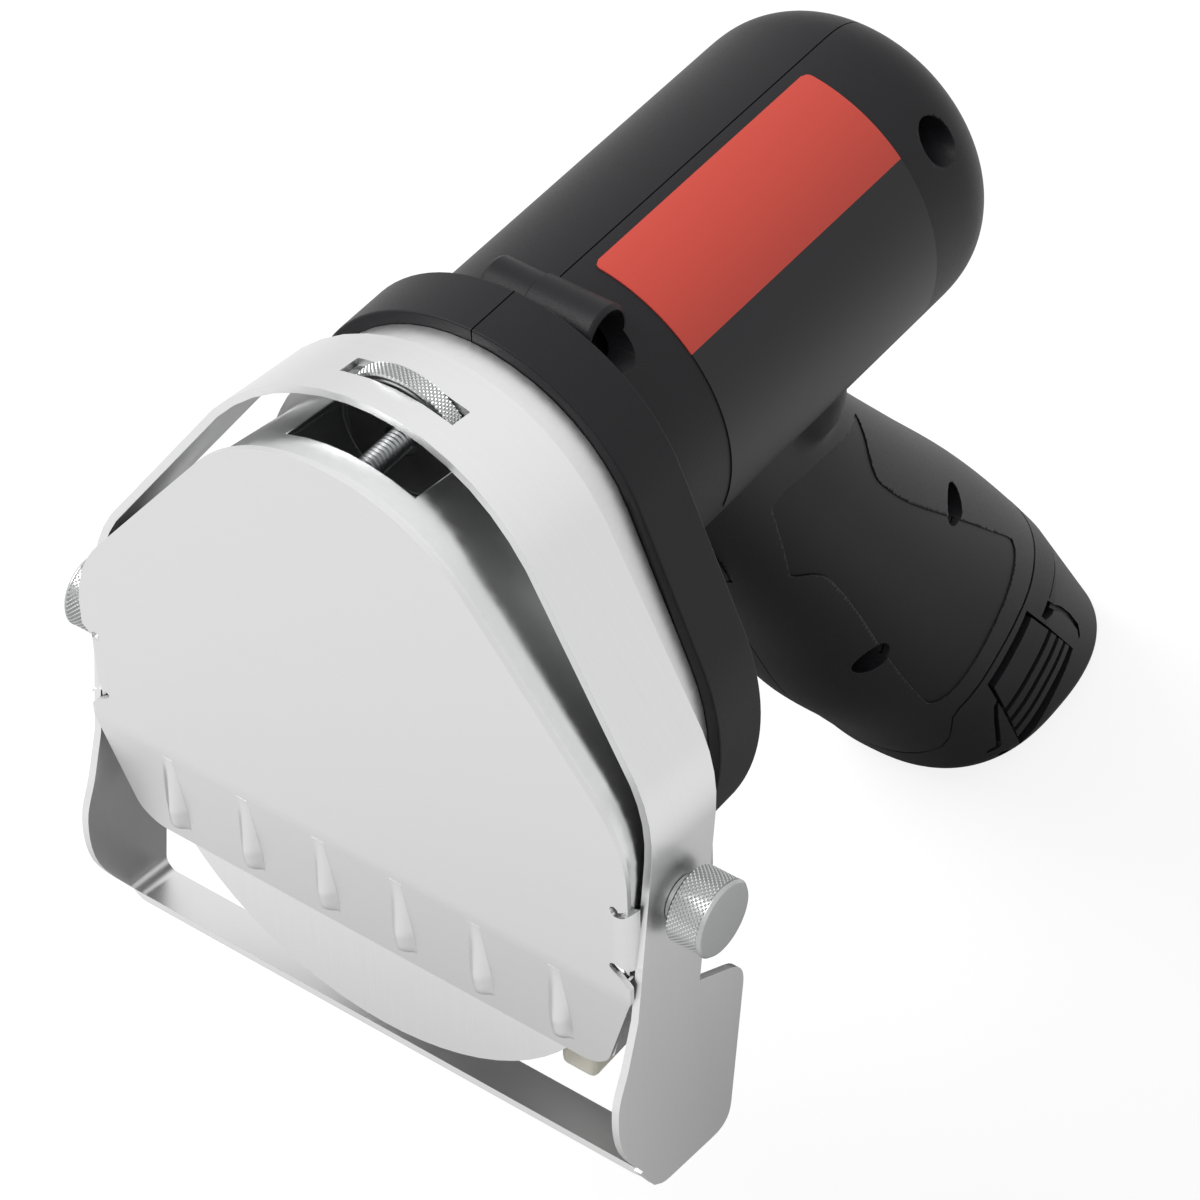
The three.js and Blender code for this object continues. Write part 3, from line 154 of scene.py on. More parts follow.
@dataclass(frozen=True)
class Finish:
    """One real material, with the pattern that its making left on the surface.

    The pattern shifts the colour by a share, the roughness by an amount, and the surface by a height.
    """

    name: str
    colour: str
    roughness: float
    metallic: float = 0.0
    specular: float = 0.5
    pattern: Pattern = Pattern.ROLLED
    grain_mm: tuple[float, float, float] = (0.5, 0.5, 0.5)
    tone: float = 0.04
    gloss: float = 0.04
    relief_mm: float = 0.01

    def texture(self, tree: bpy.types.NodeTree) -> bpy.types.NodeSocket:
        """Add the pattern's texture.

        Args:
            tree: Node tree of the material.

        Returns:
            The socket that gives the pattern's level from 0 to 1.
        """
        place = add_node(tree, "ShaderNodeTexCoord")
        scale = [1 / (size * MM) for size in self.grain_mm]
        mapping = add_node(tree, "ShaderNodeMapping", {"Vector": place.outputs["Object"], "Scale": scale})
        where = mapping.outputs["Vector"]
        if self.pattern is Pattern.PITTED:
            return add_node(tree, "ShaderNodeTexVoronoi", {"Vector": where, "Scale": 1.0}).outputs["Distance"]
        if self.pattern is Pattern.WOUND:
            values = {"Vector": where, "Scale": 0.5, "Distortion": 0.6, "Detail": 1.0}
            return add_node(tree, "ShaderNodeTexWave", values, bands_direction="DIAGONAL").outputs["Fac"]
        values = {"Vector": where, "Scale": 1.0, "Detail": 3.0, "Roughness": 0.6}
        return add_node(tree, "ShaderNodeTexNoise", values).outputs["Fac"]

    def make(self) -> bpy.types.Material:
        """Build the material, or give the one that was built before.

        Returns:
            The material named for this finish.
        """
        known = bpy.data.materials.get(self.name)
        if known:
            return known
        material = bpy.data.materials.new(self.name)
        material.use_nodes = True
        tree = material.node_tree
        tree.nodes.clear()
        level = self.texture(tree)
        ramp = add_node(tree, "ShaderNodeValToRGB", {"Fac": level})
        base = linear(self.colour)
        for element, share in zip(ramp.color_ramp.elements, (1 - self.tone, 1 + self.tone)):
            element.color = (*(min(1.0, channel * share) for channel in base), 1.0)
        ramp.color_ramp.elements[0].position = 0.25
        ramp.color_ramp.elements[1].position = 0.75
        limits = {"To Min": self.roughness - self.gloss, "To Max": self.roughness + self.gloss}
        rough = add_node(tree, "ShaderNodeMapRange", {"Value": level, **limits})
        relief = {"Height": level, "Strength": 1.0, "Distance": self.relief_mm * MM}
        bump = add_node(tree, "ShaderNodeBump", relief)
        shader = add_node(tree, "ShaderNodeBsdfPrincipled", {
            "Base Color": ramp.outputs["Color"],
            "Roughness": rough.outputs["Result"],
            "Normal": bump.outputs["Normal"],
            "Metallic": self.metallic,
            "Specular IOR Level": self.specular,
        })
        add_node(tree, "ShaderNodeOutputMaterial", {"Surface": shader.outputs["BSDF"]})
        return material


# Cold-rolled stainless sheet with a fine satin face: even and pale, with faint lines along X.
SATIN_SHEET = Finish("satin_stainless_sheet", "#d6d6d6", 0.36, 1.0, grain_mm=(30.0, 4.0, 0.3),
                     tone=0.012, gloss=0.03, relief_mm=0.0006)
# Stainless strip, belt-brushed along its length and then bent, so its lines run round the hoop.
BRUSHED_STRIP = Finish("brushed_stainless_strip", "#dcdcdc", 0.36, 1.0, grain_mm=(60.0, 0.28, 60.0),
                       tone=0.02, gloss=0.04, relief_mm=0.0008)
# Drawn stainless cover: the press left a slightly cloudy face.
DRAWN_COVER = Finish("drawn_stainless_cover", "#d6d7d7", 0.24, 1.0, grain_mm=(1.6, 1.6, 1.6),
                     tone=0.03, gloss=0.07, relief_mm=0.002)
# Ground blade steel: fine grinding marks, nearly a mirror.
GROUND_BLADE = Finish("ground_blade_steel", "#e2e2e2", 0.22, 1.0, grain_mm=(0.25, 3.0, 12.0),
                      tone=0.02, gloss=0.04, relief_mm=0.0006)
# Turned and knurled free-cutting steel, with a dull plated face.
TURNED_STEEL = Finish("turned_plated_steel", "#b2b3b3", 0.33, 1.0, grain_mm=(0.35, 0.35, 0.35),
                      tone=0.05, gloss=0.06, relief_mm=0.002)
# Hidden steel parts: darker, machined.
MACHINED_STEEL = Finish("machined_steel", "#a9abad", 0.36, 1.0, grain_mm=(0.5, 0.12, 0.5),
                        tone=0.05, gloss=0.06, relief_mm=0.002)
# Die-cast aluminium with its sides polished: soft cloudy patches.
CAST_ALUMINIUM = Finish("die_cast_aluminium", "#d8d8d8", 0.42, 1.0, grain_mm=(1.2, 1.2, 1.2),
                        tone=0.03, gloss=0.06, relief_mm=0.002)
# Moulded black ABS, taken from a spark-eroded mould: a fine pitted matte face.
BLACK_ABS = Finish("moulded_black_abs", "#19181b", 0.48, specular=0.22, pattern=Pattern.PITTED,
                   grain_mm=(0.3, 0.3, 0.3), tone=0.12, gloss=0.05, relief_mm=0.016)
# Grip panel in a softer moulded elastomer: finer and duller than the ABS.
GRIP_ELASTOMER = Finish("moulded_grip_elastomer", "#171619", 0.52, specular=0.2, pattern=Pattern.PITTED,
                        grain_mm=(0.22, 0.22, 0.22), tone=0.12, gloss=0.04, relief_mm=0.012)
# Printed vinyl film with a satin over-laminate, in the label's red and black parts.
RED_FILM = Finish("red_vinyl_film", "#d44a3c", 0.42, specular=0.4, grain_mm=(0.4, 0.4, 0.4),
                  tone=0.015, gloss=0.03, relief_mm=0.002)
BLACK_FILM = Finish("black_vinyl_film", "#1f1e21", 0.42, specular=0.3, grain_mm=(0.4, 0.4, 0.4),
                    tone=0.03, gloss=0.03, relief_mm=0.002)
# Natural nylon, machined: cream and waxy.
NATURAL_NYLON = Finish("natural_nylon", "#efebdc", 0.45, grain_mm=(0.8, 0.8, 0.8),
                       tone=0.03, gloss=0.05, relief_mm=0.004)
# Enamelled copper wire, wound in close turns.
ENAMELLED_COPPER = Finish("enamelled_copper_wire", "#b4713f", 0.38, 1.0, pattern=Pattern.WOUND,
                          grain_mm=(0.5, 0.5, 0.5), tone=0.25, gloss=0.08, relief_mm=0.1)
# Glass-fibre board under a green solder mask.
SOLDER_MASK = Finish("green_solder_mask", "#1f5b3a", 0.4, grain_mm=(0.9, 0.9, 0.9),
                     tone=0.08, gloss=0.05, relief_mm=0.006)
# Printed shrink sleeve, tight on the cells.
SHRINK_SLEEVE = Finish("blue_shrink_sleeve", "#2b5c93", 0.35, grain_mm=(3.0, 3.0, 3.0),
                       tone=0.05, gloss=0.05, relief_mm=0.01)

FINISH_OF_SLOT = {
    "stainless": SATIN_SHEET,
    "steel": MACHINED_STEEL,
    "cast_alloy": CAST_ALUMINIUM,
    "black_plastic": BLACK_ABS,
    "grip": GRIP_ELASTOMER,
    "red_label": RED_FILM,
    "black_label": BLACK_FILM,
    "nylon": NATURAL_NYLON,
    "winding": ENAMELLED_COPPER,
    "board": SOLDER_MASK,
    "cell_wrap": SHRINK_SLEEVE,
}


def only(piece: bpy.types.Object) -> None:
    """Select one object alone and make it active."""
    bpy.ops.object.select_all(action="DESELECT")
    piece.select_set(True)
    bpy.context.view_layer.objects.active = piece


@contextmanager
def editing(piece: bpy.types.Object) -> Iterator[None]:
    """Hold a piece in edit mode with all of it selected."""
    only(piece)
    bpy.ops.object.mode_set(mode="EDIT")
    bpy.ops.mesh.select_all(action="SELECT")
    yield
    bpy.ops.object.mode_set(mode="OBJECT")


def new_primitive(name: str, add: Callable[..., set[str]], **settings: object) -> bpy.types.Object:
    """Add a primitive and name it.

    Args:
        name: Name of the new object and its mesh.
        add: Blender's operator for the primitive.
        **settings: The operator's own settings.

    Returns:
        The new object, with its place applied to its mesh.
    """
    bpy.ops.object.select_all(action="DESELECT")
    add(**settings)
    piece = bpy.context.object
    piece.name = name
    piece.data.name = name
    bpy.ops.object.transform_apply(location=True, rotation=True, scale=True)
    return piece


def modify(piece: bpy.types.Object, kind: str, **settings: object) -> None:
    """Add one modifier to a piece and apply it.

    Args:
        piece: Object that is changed.
        kind: Blender's name for the modifier type.
        **settings: Properties of the modifier.
    """
    only(piece)
    modifier = piece.modifiers.new(kind.lower(), kind)
    for key, value in settings.items():
        setattr(modifier, key, value)
    bpy.ops.object.modifier_apply(modifier=modifier.name)


def combine(piece: bpy.types.Object, way: Way, other: bpy.types.Object) -> None:
    """Combine another solid with a piece and remove the other one."""
    modify(piece, "BOOLEAN", object=other, operation=way.value, solver="MANIFOLD")
    bpy.data.objects.remove(other)


def cut_with(piece: bpy.types.Object, *cutters: bpy.types.Object) -> None:
    """Cut each cutter's shape out of a piece and remove the cutter."""
    for cutter in cutters:
        combine(piece, Way.CUT, cutter)


def join(first: bpy.types.Object, *others: bpy.types.Object) -> bpy.types.Object:
    """Join pieces into the first of them, and return it."""
    only(first)
    for other in others:
        other.select_set(True)
    bpy.ops.object.join()
    return first


def round_edges(piece: bpy.types.Object, width: float, angle: float = 32.0, segments: int = 2) -> None:
    """Break the sharp edges of a piece and shade it smooth between what is left.

    Args:
        piece: Object that is changed.
        width: Width of the rounding in millimetres.
        angle: Edges sharper than this many degrees are rounded.
        segments: Number of faces across the rounding.
    """
    modify(piece, "BEVEL", width=width * MM, segments=segments, limit_method="ANGLE",
           angle_limit=math.radians(angle), use_clamp_overlap=True, harden_normals=False)
    smooth(piece, angle)


def smooth(piece: bpy.types.Object, angle: float) -> None:
    """Shade a piece smooth where its faces meet below an angle in degrees, with flat faces kept flat."""
    only(piece)
    bpy.ops.object.shade_smooth_by_angle(angle=math.radians(angle))
    modify(piece, "WEIGHTED_NORMAL", weight=100, keep_sharp=True)


def soften(piece: bpy.types.Object, voxel: float, passes: int) -> None:
    """Rebuild a piece in small even faces and ease its edges, as a mould does.

    Args:
        piece: Object that is changed.
        voxel: Size of the new faces in millimetres.
        passes: Number of smoothing passes.
    """
    modify(piece, "REMESH", mode="VOXEL", voxel_size=voxel * MM, use_smooth_shade=True)
    modify(piece, "SMOOTH", factor=0.5, iterations=passes)


def copy_node(node: str, name: str) -> bpy.types.Object:
    """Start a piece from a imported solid, with its loose triangles merged into whole faces.

    Args:
        node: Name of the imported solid.
        name: Name of the new object.

    Returns:
        The new object.
    """
    piece = bpy.data.objects.new(name, frame["nodes"][node].data.copy())
    piece.data.name = name
    piece.data.materials.clear()
    bpy.context.scene.collection.objects.link(piece)
    with editing(piece):
        bpy.ops.mesh.customdata_custom_splitnormals_clear()
        bpy.ops.mesh.remove_doubles(threshold=0.004 * MM)
        bpy.ops.mesh.dissolve_limited(angle_limit=math.radians(0.8))
    return piece


def circle(x: float, z: float, radius: float, count: int = 96) -> Outline:
    """Give evenly spaced points round a circle."""
    turns = [2 * math.pi * i / count for i in range(count)]
    return [(x + radius * math.cos(turn), z + radius * math.sin(turn)) for turn in turns]


def both(points: Outline) -> Outline:
    """Give the points and their mirror images across the middle."""
    return [(side * x, z) for x, z in points for side in (1, -1)]


def hull(points: Outline) -> Outline:
    """Give the outline of a band stretched round a set of points.

    Args:
        points: Points in any order.

    Returns:
        The outline's corners, anticlockwise.
    """
    def chain(ordered: Outline) -> Outline:
        """Keep the points that turn left."""
        kept: Outline = []
        for x, z in ordered:
            while len(kept) > 1:
                (x0, z0), (x1, z1) = kept[-2:]
                if (x1 - x0) * (z - z0) - (z1 - z0) * (x - x0) > 1e-9:
                    break
                kept.pop()
            kept.append((x, z))
        return kept[:-1]

    ordered = sorted(set(points))
    return chain(ordered) + chain(ordered[::-1])


def rounded(corners: Sequence[tuple[float, float, float]], steps: int) -> Outline:
    """Ease the corners of an outline of straight edges.

    Args:
        corners: Each corner as its two coordinates and the distance along its edges that is eased.
        steps: Number of edges in each eased corner.

    Returns:
        The outline's points.
    """
    outline: Outline = []
    for i, (a, b, reach) in enumerate(corners):
        ends = []
        for other in (corners[i - 1], corners[(i + 1) % len(corners)]):
            share = min(reach / math.hypot(other[0] - a, other[1] - b), 0.48)
            ends.append((a + (other[0] - a) * share, b + (other[1] - b) * share))
        for t in (step / steps for step in range(steps + 1)):
            first, middle, last = (1 - t) ** 2, 2 * t * (1 - t), t * t
            outline.append(tuple(first * ends[0][k] + middle * (a, b)[k] + last * ends[1][k] for k in (0, 1)))
    return outline


def inward(outline: Outline, distance: float) -> Outline:
    """Move an outline towards its inside by a distance."""
    pairs = list(zip(outline, outline[1:] + outline[:1]))
    area = sum(a0 * b1 - a1 * b0 for (a0, b0), (a1, b1) in pairs)
    sign = math.copysign(distance, area)
    moved: Outline = []
    for i, (a, b) in enumerate(outline):
        (a0, b0), (a1, b1) = outline[i - 1], outline[(i + 1) % len(outline)]
        length = math.hypot(a1 - a0, b1 - b0)
        moved.append((a - sign * (b1 - b0) / length, b + sign * (a1 - a0) / length))
    return moved


def ribbon(path: Sequence[tuple[float, float]], width: float) -> Outline:
    """Give the outline of a band of even width along a path, with its ends rounded."""
    half = width / 2
    sides: tuple[Outline, Outline] = ([], [])
    for i, (a, b) in enumerate(path):
        (a0, b0), (a1, b1) = path[max(0, i - 1)], path[min(len(path) - 1, i + 1)]
        length = math.hypot(a1 - a0, b1 - b0)
        across = ((b0 - b1) / length * half, (a1 - a0) / length * half)
        sides[0].append((a + across[0], b + across[1]))
        sides[1].append((a - across[0], b - across[1]))
    ends = []
    for (a, b), (side_a, side_b) in ((path[0], sides[0][0]), (path[-1], sides[1][-1])):
        start = math.atan2(side_b - b, side_a - a)
        turns = [start + math.pi * i / 6 for i in range(1, 6)]
        ends.append([(a + half * math.cos(turn), b + half * math.sin(turn)) for turn in turns])
    return [*sides[0][::-1], *ends[0], *sides[1], *ends[1]]


def slab(name: str, points: Sequence[Vector], depth: Vector) -> bpy.types.Object:
    """Extrude a flat outline into a closed solid.

    Args:
        name: Name of the new object.
        points: Corners of the outline, in metres.
        depth: How far and which way the outline is extruded, in metres.

    Returns:
        The new object.
    """
    piece = new_primitive(name, bpy.ops.mesh.primitive_circle_add, vertices=len(points), fill_type="NGON")
    for vertex, point in zip(piece.data.vertices, points):
        vertex.co = point
    with editing(piece):
        bpy.ops.mesh.extrude_region_move(TRANSFORM_OT_translate={"value": depth})
        bpy.ops.mesh.select_all(action="SELECT")
        bpy.ops.mesh.normals_make_consistent(inside=False)
    return piece


def slab_y(name: str, outline: Outline, front: float, back: float) -> bpy.types.Object:
    """Extrude an outline of (x, z) points from one depth to another, in millimetres."""
    return slab(name, [at(x, front, z) for x, z in outline], Vector((0, (back - front) * MM, 0)))


def lofted(name: str, rings: Sequence[Sequence[Vector]]) -> bpy.types.Object:
    """Stretch a closed skin over rings of equal point counts, with flat ends.

    Args:
        name: Name of the new object.
        rings: Points of each ring, in metres.

    Returns:
        The new object.
    """
    count, rows = len(rings[0]), len(rings)
    caps = [sum(ring, Vector()) / count for ring in (rings[0], rings[-1])]
    piece = new_primitive(name, bpy.ops.mesh.primitive_uv_sphere_add, segments=count, ring_count=rows + 1)
    for vertex in piece.data.vertices:
        row = round(math.acos(max(-1.0, min(1.0, vertex.co.z))) / math.pi * (rows + 1)) - 1
        step = round(math.atan2(vertex.co.y, vertex.co.x) / (2 * math.pi) * count) % count
        if 0 <= row < rows:
            vertex.co = rings[row][step]
        else:
            vertex.co = caps[0 if row < 0 else 1]
    with editing(piece):
        bpy.ops.mesh.normals_make_consistent(inside=False)
    return piece


def turned(name: str, profile: Outline, axis: Axis, middle: Vector, steps: int) -> bpy.types.Object:
    """Turn a profile round an axis, as on a lathe.

    Args:
        name: Name of the new object.
        profile: Points of (radius, place along the axis), in millimetres.
        axis: Direction of the turned axis.
        middle: A point on the axis where the place along it is zero, in metres.
        steps: Number of faces round the axis.

    Returns:
        The new object.
    """
    outward = Axis.Z.value
    points = [middle + (outward * radius + axis.value * along) * MM for radius, along in profile]
    piece = new_primitive(name, bpy.ops.mesh.primitive_plane_add, size=MM, location=points[0])
    with editing(piece):
        bpy.ops.mesh.merge(type="CENTER")
        for start, end in zip(points, points[1:]):
            bpy.ops.mesh.extrude_region_move(TRANSFORM_OT_translate={"value": end - start})
        bpy.ops.mesh.select_all(action="SELECT")
        bpy.ops.mesh.spin(steps=steps, angle=2 * math.pi, center=middle, axis=axis.value)
        bpy.ops.mesh.select_all(action="SELECT")
        bpy.ops.mesh.remove_doubles(threshold=0.002 * MM)
        bpy.ops.mesh.normals_make_consistent(inside=False)
    return piece


def knurl(piece: bpy.types.Object, axis: Axis, middle: Vector, radius: float, rows: list[float],
          steps: int, height: float) -> None:
    """Raise a turned rim into crossed rows of small pyramids, each four corners long and wide.

    Args:
        piece: Turned object with a ring of corners at each row.
        axis: Direction of the turned axis.
        middle: A point on the axis where the place along it is zero, in metres.
        radius: Radius of the rim in millimetres.
        rows: Places of the rings along the axis, in millimetres.
        steps: Number of corners round each ring, a multiple of four.
        height: How far the pyramids stand out, in millimetres.
    """
    across = axis.value.cross(Axis.Z.value)
    for vertex in piece.data.vertices:
        offset = (vertex.co - middle) / MM
        along = offset.dot(axis.value)
        outward = offset - axis.value * along
        row = min(range(len(rows)), key=lambda i: abs(rows[i] - along))
        if abs(outward.length - radius) > 0.02 or abs(rows[row] - along) > 0.02:
            continue
        step = round(math.atan2(outward.dot(across), outward.z) / (2 * math.pi) * steps)
        rise = min(abs((step + row) % 4 - 2), abs((step - row) % 4 - 2)) / 2
        vertex.co += outward.normalized() * rise * height * MM


def evenly(start: float, end: float, count: int) -> list[float]:
    """Give evenly spaced values, with both ends."""
    return [start + (end - start) * i / (count - 1) for i in range(count)]


def dress(piece: bpy.types.Object, finish: Finish, body: str, nodes: Sequence[str] = ()) -> None:
    """Give a finished piece its material, its body and the solids that it stands for.

    Args:
        piece: The finished object.
        finish: Its material.
        body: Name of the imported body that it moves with.
        nodes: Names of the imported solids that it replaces.
    """
    piece.data.materials.clear()
    piece.data.materials.append(finish.make())
    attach(piece, body)
    if nodes:
        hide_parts(*nodes)
    LOG.info("%s: %d faces, %s, on %s", piece.name, len(piece.data.polygons), finish.name, body)


@dataclass
class GuardPlate:
    """Flat sheet in front of the blade, with a leaning strip below, pressed ribs and side tabs."""

    front: float = -3.6
    thickness: float = 1.0
    top_radius: float = 33.0
    top_height: float = 47.5
    half_width: float = 55.0
    shoulder_radius: float = 28.0
    shoulder_height: float = 20.7
    bend_height: float = -4.0
    bend_ease: float = 1.2
    bend_cuts: tuple[float, ...] = (1.5, 0.75, 0.0, -0.75, -1.5)
    edge: float = 0.2
    strip_drop: float = 22.5
    strip_setback: float = 2.0
    corner_radius: float = 6.5
    corner_middle: float = 43.2
    rib_count: int = 6
    rib_pitch: float = 15.9
    rib_width: float = 4.6
    rib_top: float = -5.5
    rib_bottom: float = -23.0
    rib_height: float = 1.9
    rib_sheet: float = 0.5
    # Shares of a rib: where its crest lies across it, how much of its length rises and is its rounded end,
    # and how wide it starts.
    rib_crest: float = 0.05
    rib_rise: float = 0.7
    rib_end: float = 0.14
    rib_start: float = 0.55
    tab_radius: float = 3.2
    tab_low: float = 1.9
    tab_high: float = 14.9
    tab_gap: float = 0.4
    tab_edge: float = 0.15
    tab_lap: float = 1.0
    cut_front: float = 3.0
    cut_back: float = 6.0
    cut_reach: float = 58.0
    slit_width: float = 1.7
    # Middle lines of the two slits on the right edge, as (x, z) from the closed end.
    upper_slit: tuple[tuple[float, float], ...] = (
        (52.3, 15.8), (52.6, 15.2), (53.4, 15.0), (54.2, 15.5), (57.5, 18.4),
    )
    lower_slit: tuple[tuple[float, float], ...] = ((51.9, 2.5), (53.1, 1.7), (54.8, 0.3), (57.5, -2.6))

    def setback(self, z: float) -> float:
        """Give how far the strip leans back at a height, eased round the bend."""
        slope = self.strip_setback / self.strip_drop
        below = self.bend_height - z
        return slope * (below + math.hypot(below, self.bend_ease)) / 2

    def outline(self) -> Outline:
        """Give the sheet's outline before it is bent."""
        shoulder = circle(self.half_width - self.shoulder_radius, self.shoulder_height, self.shoulder_radius)
        low = self.bend_height - self.strip_drop + self.corner_radius
        return hull([
            *circle(0.0, self.top_height, self.top_radius),
            *both(shoulder),
            *both([(self.half_width, self.bend_height)]),
            *both(circle(self.corner_middle, low, self.corner_radius, 48)),
        ])

    def slit(self, side: int, path: Sequence[tuple[float, float]]) -> bpy.types.Object:
        """Build the cutter for one slit in the sheet's edge.

        Args:
            side: 1 for the right edge and -1 for the left.
            path: Middle line of the slit from its closed end, on the right edge.

        Returns:
            The cutter.
        """
        points = [(side * x, z) for x, z in ribbon(path, self.slit_width)]
        return slab_y("slit_cutter", points, self.front - self.cut_front, self.front + self.cut_back)

    def tab(self, side: int) -> bpy.types.Object:
        """Build the tab that bends back round the cover between two slits."""
        middle = self.half_width - self.tab_radius
        turns = evenly(0.0, math.pi / 2, 11)
        inner = self.tab_radius - self.thickness
        outside = [(middle + self.tab_radius * math.sin(t), -self.tab_radius * math.cos(t)) for t in turns]
        inside = [(middle + inner * math.sin(t), -inner * math.cos(t)) for t in turns[::-1]]
        start = [(middle - self.tab_lap, -inner), (middle - self.tab_lap, -self.tab_radius)]
        y = self.front + self.tab_radius
        points = [at(side * x, y + depth, self.tab_low) for x, depth in [*outside, *inside, *start]]
        tab = slab("plate_tab", points, Vector((0, 0, (self.tab_high - self.tab_low) * MM)))
        cut_with(tab, self.slit(side, self.upper_slit), self.slit(side, self.lower_slit))
        round_edges(tab, self.tab_edge, 40.0)
        return tab

    def rib(self, x: float) -> bpy.types.Object:
        """Press one rib: it rises from the sheet towards a rounded lower end."""
        across, along = 20, 28
        rib = new_primitive("plate_rib", bpy.ops.mesh.primitive_grid_add, x_subdivisions=across,
                            y_subdivisions=along)
        for vertex in rib.data.vertices:
            u, v = vertex.co.x, (1 - vertex.co.y) / 2
            rise = min(1.0, v / self.rib_rise)
            end = math.sqrt(max(0.0, 1 - max(0.0, 1 - (1 - v) / self.rib_end) ** 2))
            flank = abs((u - self.rib_crest) / (math.copysign(1, u - self.rib_crest) - self.rib_crest))
            steep = math.cos(math.pi / 2 * flank)
            height = self.rib_height * (steep if u > self.rib_crest else steep ** 2) * rise ** 1.3 * end
            z = self.rib_top + (self.rib_bottom - self.rib_top) * v
            width = self.rib_width / 2 * (self.rib_start + (1 - self.rib_start) * rise)
            vertex.co = at(x + u * width, self.front + self.setback(z) - height - 0.01, z)
        with editing(rib):
            bpy.ops.mesh.normals_make_consistent(inside=False)
        facing = sum(face.normal.y for face in rib.data.polygons)
        modify(rib, "SOLIDIFY", thickness=self.rib_sheet * MM, offset=-1.0 if facing < 0 else 1.0)
        smooth(rib, 60.0)
        return rib

    def build(self) -> None:
        """Build the plate and dress it."""
        plate = slab_y("guard_plate_sheet", self.outline(), self.front, self.front + self.thickness)
        with editing(plate):
            for offset in self.bend_cuts:
                bpy.ops.mesh.select_all(action="SELECT")
                bpy.ops.mesh.bisect(plane_co=at(0, 0, self.bend_height + offset), plane_no=Axis.Z.value)
        for vertex in plate.data.vertices:
            z = (vertex.co.z - LAYOUT.z) / MM
            vertex.co.y += self.setback(z) * MM
        inner, outer = self.half_width - self.tab_radius, self.cut_reach
        low, high = self.tab_low - self.tab_gap, self.tab_high + self.tab_gap
        for side in (1, -1):
            gap = [(side * x, z) for x, z in [(inner, low), (outer, low), (outer, high), (inner, high)]]
            cut_with(plate, self.slit(side, self.upper_slit), self.slit(side, self.lower_slit),
                     slab_y("tab_cutter", gap, self.front - self.cut_front, self.front + self.cut_back))
        round_edges(plate, self.edge)
        middle = (self.rib_count - 1) / 2
        ribs = [self.rib((i - middle) * self.rib_pitch) for i in range(self.rib_count)]
        join(plate, self.tab(1), self.tab(-1), *ribs)
        dress(plate, SATIN_SHEET, "housing", ["guard_plate"])


@dataclass
class BladeHead:
    """Blade, its drawn cover, the polished gear case behind and the nylon pad."""

    sheet_edge: float = 0.5
    case_edge: float = 0.6
    pad_edge: float = 1.2

    def build(self) -> None:
        """Build the pieces round the blade and dress them."""
        cover = copy_node("blade_shroud", "blade_cover")
        round_edges(cover, self.sheet_edge)
        dress(cover, DRAWN_COVER, "housing", ["blade_shroud"])
        case = copy_node("gear_case", "gear_case_casting")
        round_edges(case, self.case_edge)
        dress(case, CAST_ALUMINIUM, "housing", ["gear_case"])
        pad = copy_node("blade_pad", "nylon_pad")
        round_edges(pad, self.pad_edge, segments=3)
        dress(pad, NATURAL_NYLON, "housing", ["blade_pad"])
        blade = copy_node("blade", "round_blade")
        smooth(blade, 12.0)
        dress(blade, GROUND_BLADE, "blade_drive", ["blade"])


@dataclass
class GuideHoop:
    """Bent strip round the blade, with the adjuster wheel on its stud."""

    edge: float = 0.35
    wheel_radius: float = 12.0
    wheel_thickness: float = 3.4
    wheel_bore: float = 3.15
    wheel_y: float = 17.1
    stud_height: float = 72.5
    stud_radius: float = 2.2
    thread_pitch: float = 0.8
    thread_depth: float = 0.32
    wheel_steps: int = 344
    knurl_height: float = 0.3

    def wheel(self) -> bpy.types.Object:
        """Turn the wheel and knurl its rim."""
        half = self.wheel_thickness / 2
        rim = self.wheel_radius - self.knurl_height
        middle = at(0, self.wheel_y, self.stud_height)
        rows = evenly(-half + 0.25, half - 0.25, 15)
        lip = [(rim - 1.2, half), (rim - 0.9, half - 0.15), (rim - 0.3, half - 0.1)]
        profile = [(self.wheel_bore, -half), *((r, -y) for r, y in lip), *((rim, row) for row in rows),
                   *lip[::-1], (self.wheel_bore, half), (self.wheel_bore, -half)]
        wheel = turned("knurled_wheel", profile, Axis.Y, middle, self.wheel_steps)
        knurl(wheel, Axis.Y, middle, rim, rows, self.wheel_steps, self.knurl_height)
        smooth(wheel, 12.0)
        return wheel

    def stud(self) -> bpy.types.Object:
        """Turn the stud with the ridges of its thread."""
        low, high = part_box("adjuster_stud")
        length = (high.y - low.y) / MM
        turns = int((length - 1.0) / self.thread_pitch)
        ridge = self.stud_radius
        root = self.stud_radius - self.thread_depth
        profile: Outline = [(0.0, 0.0), (root - 0.3, 0.0)]
        for i in range(turns):
            start = 0.4 + i * self.thread_pitch
            profile += [(root, start), (ridge, start + 0.3), (ridge, start + 0.45)]
        profile += [(root, 0.4 + turns * self.thread_pitch), (root, length), (0.0, length)]
        middle = Vector((0.0, low.y, (low.z + high.z) / 2))
        stud = turned("threaded_stud", profile, Axis.Y, middle, 32)
        smooth(stud, 35.0)
        return stud

    def build(self) -> None:
        """Build the hoop and its adjuster and dress them."""
        hoop = copy_node("guide_hoop", "guide_hoop_strip")
        round_edges(hoop, self.edge)
        dress(hoop, BRUSHED_STRIP, "hoop", ["guide_hoop"])
        dress(self.wheel(), TURNED_STEEL, "wheel", ["adjuster_wheel"])
        dress(self.stud(), MACHINED_STEEL, "housing", ["adjuster_stud"])


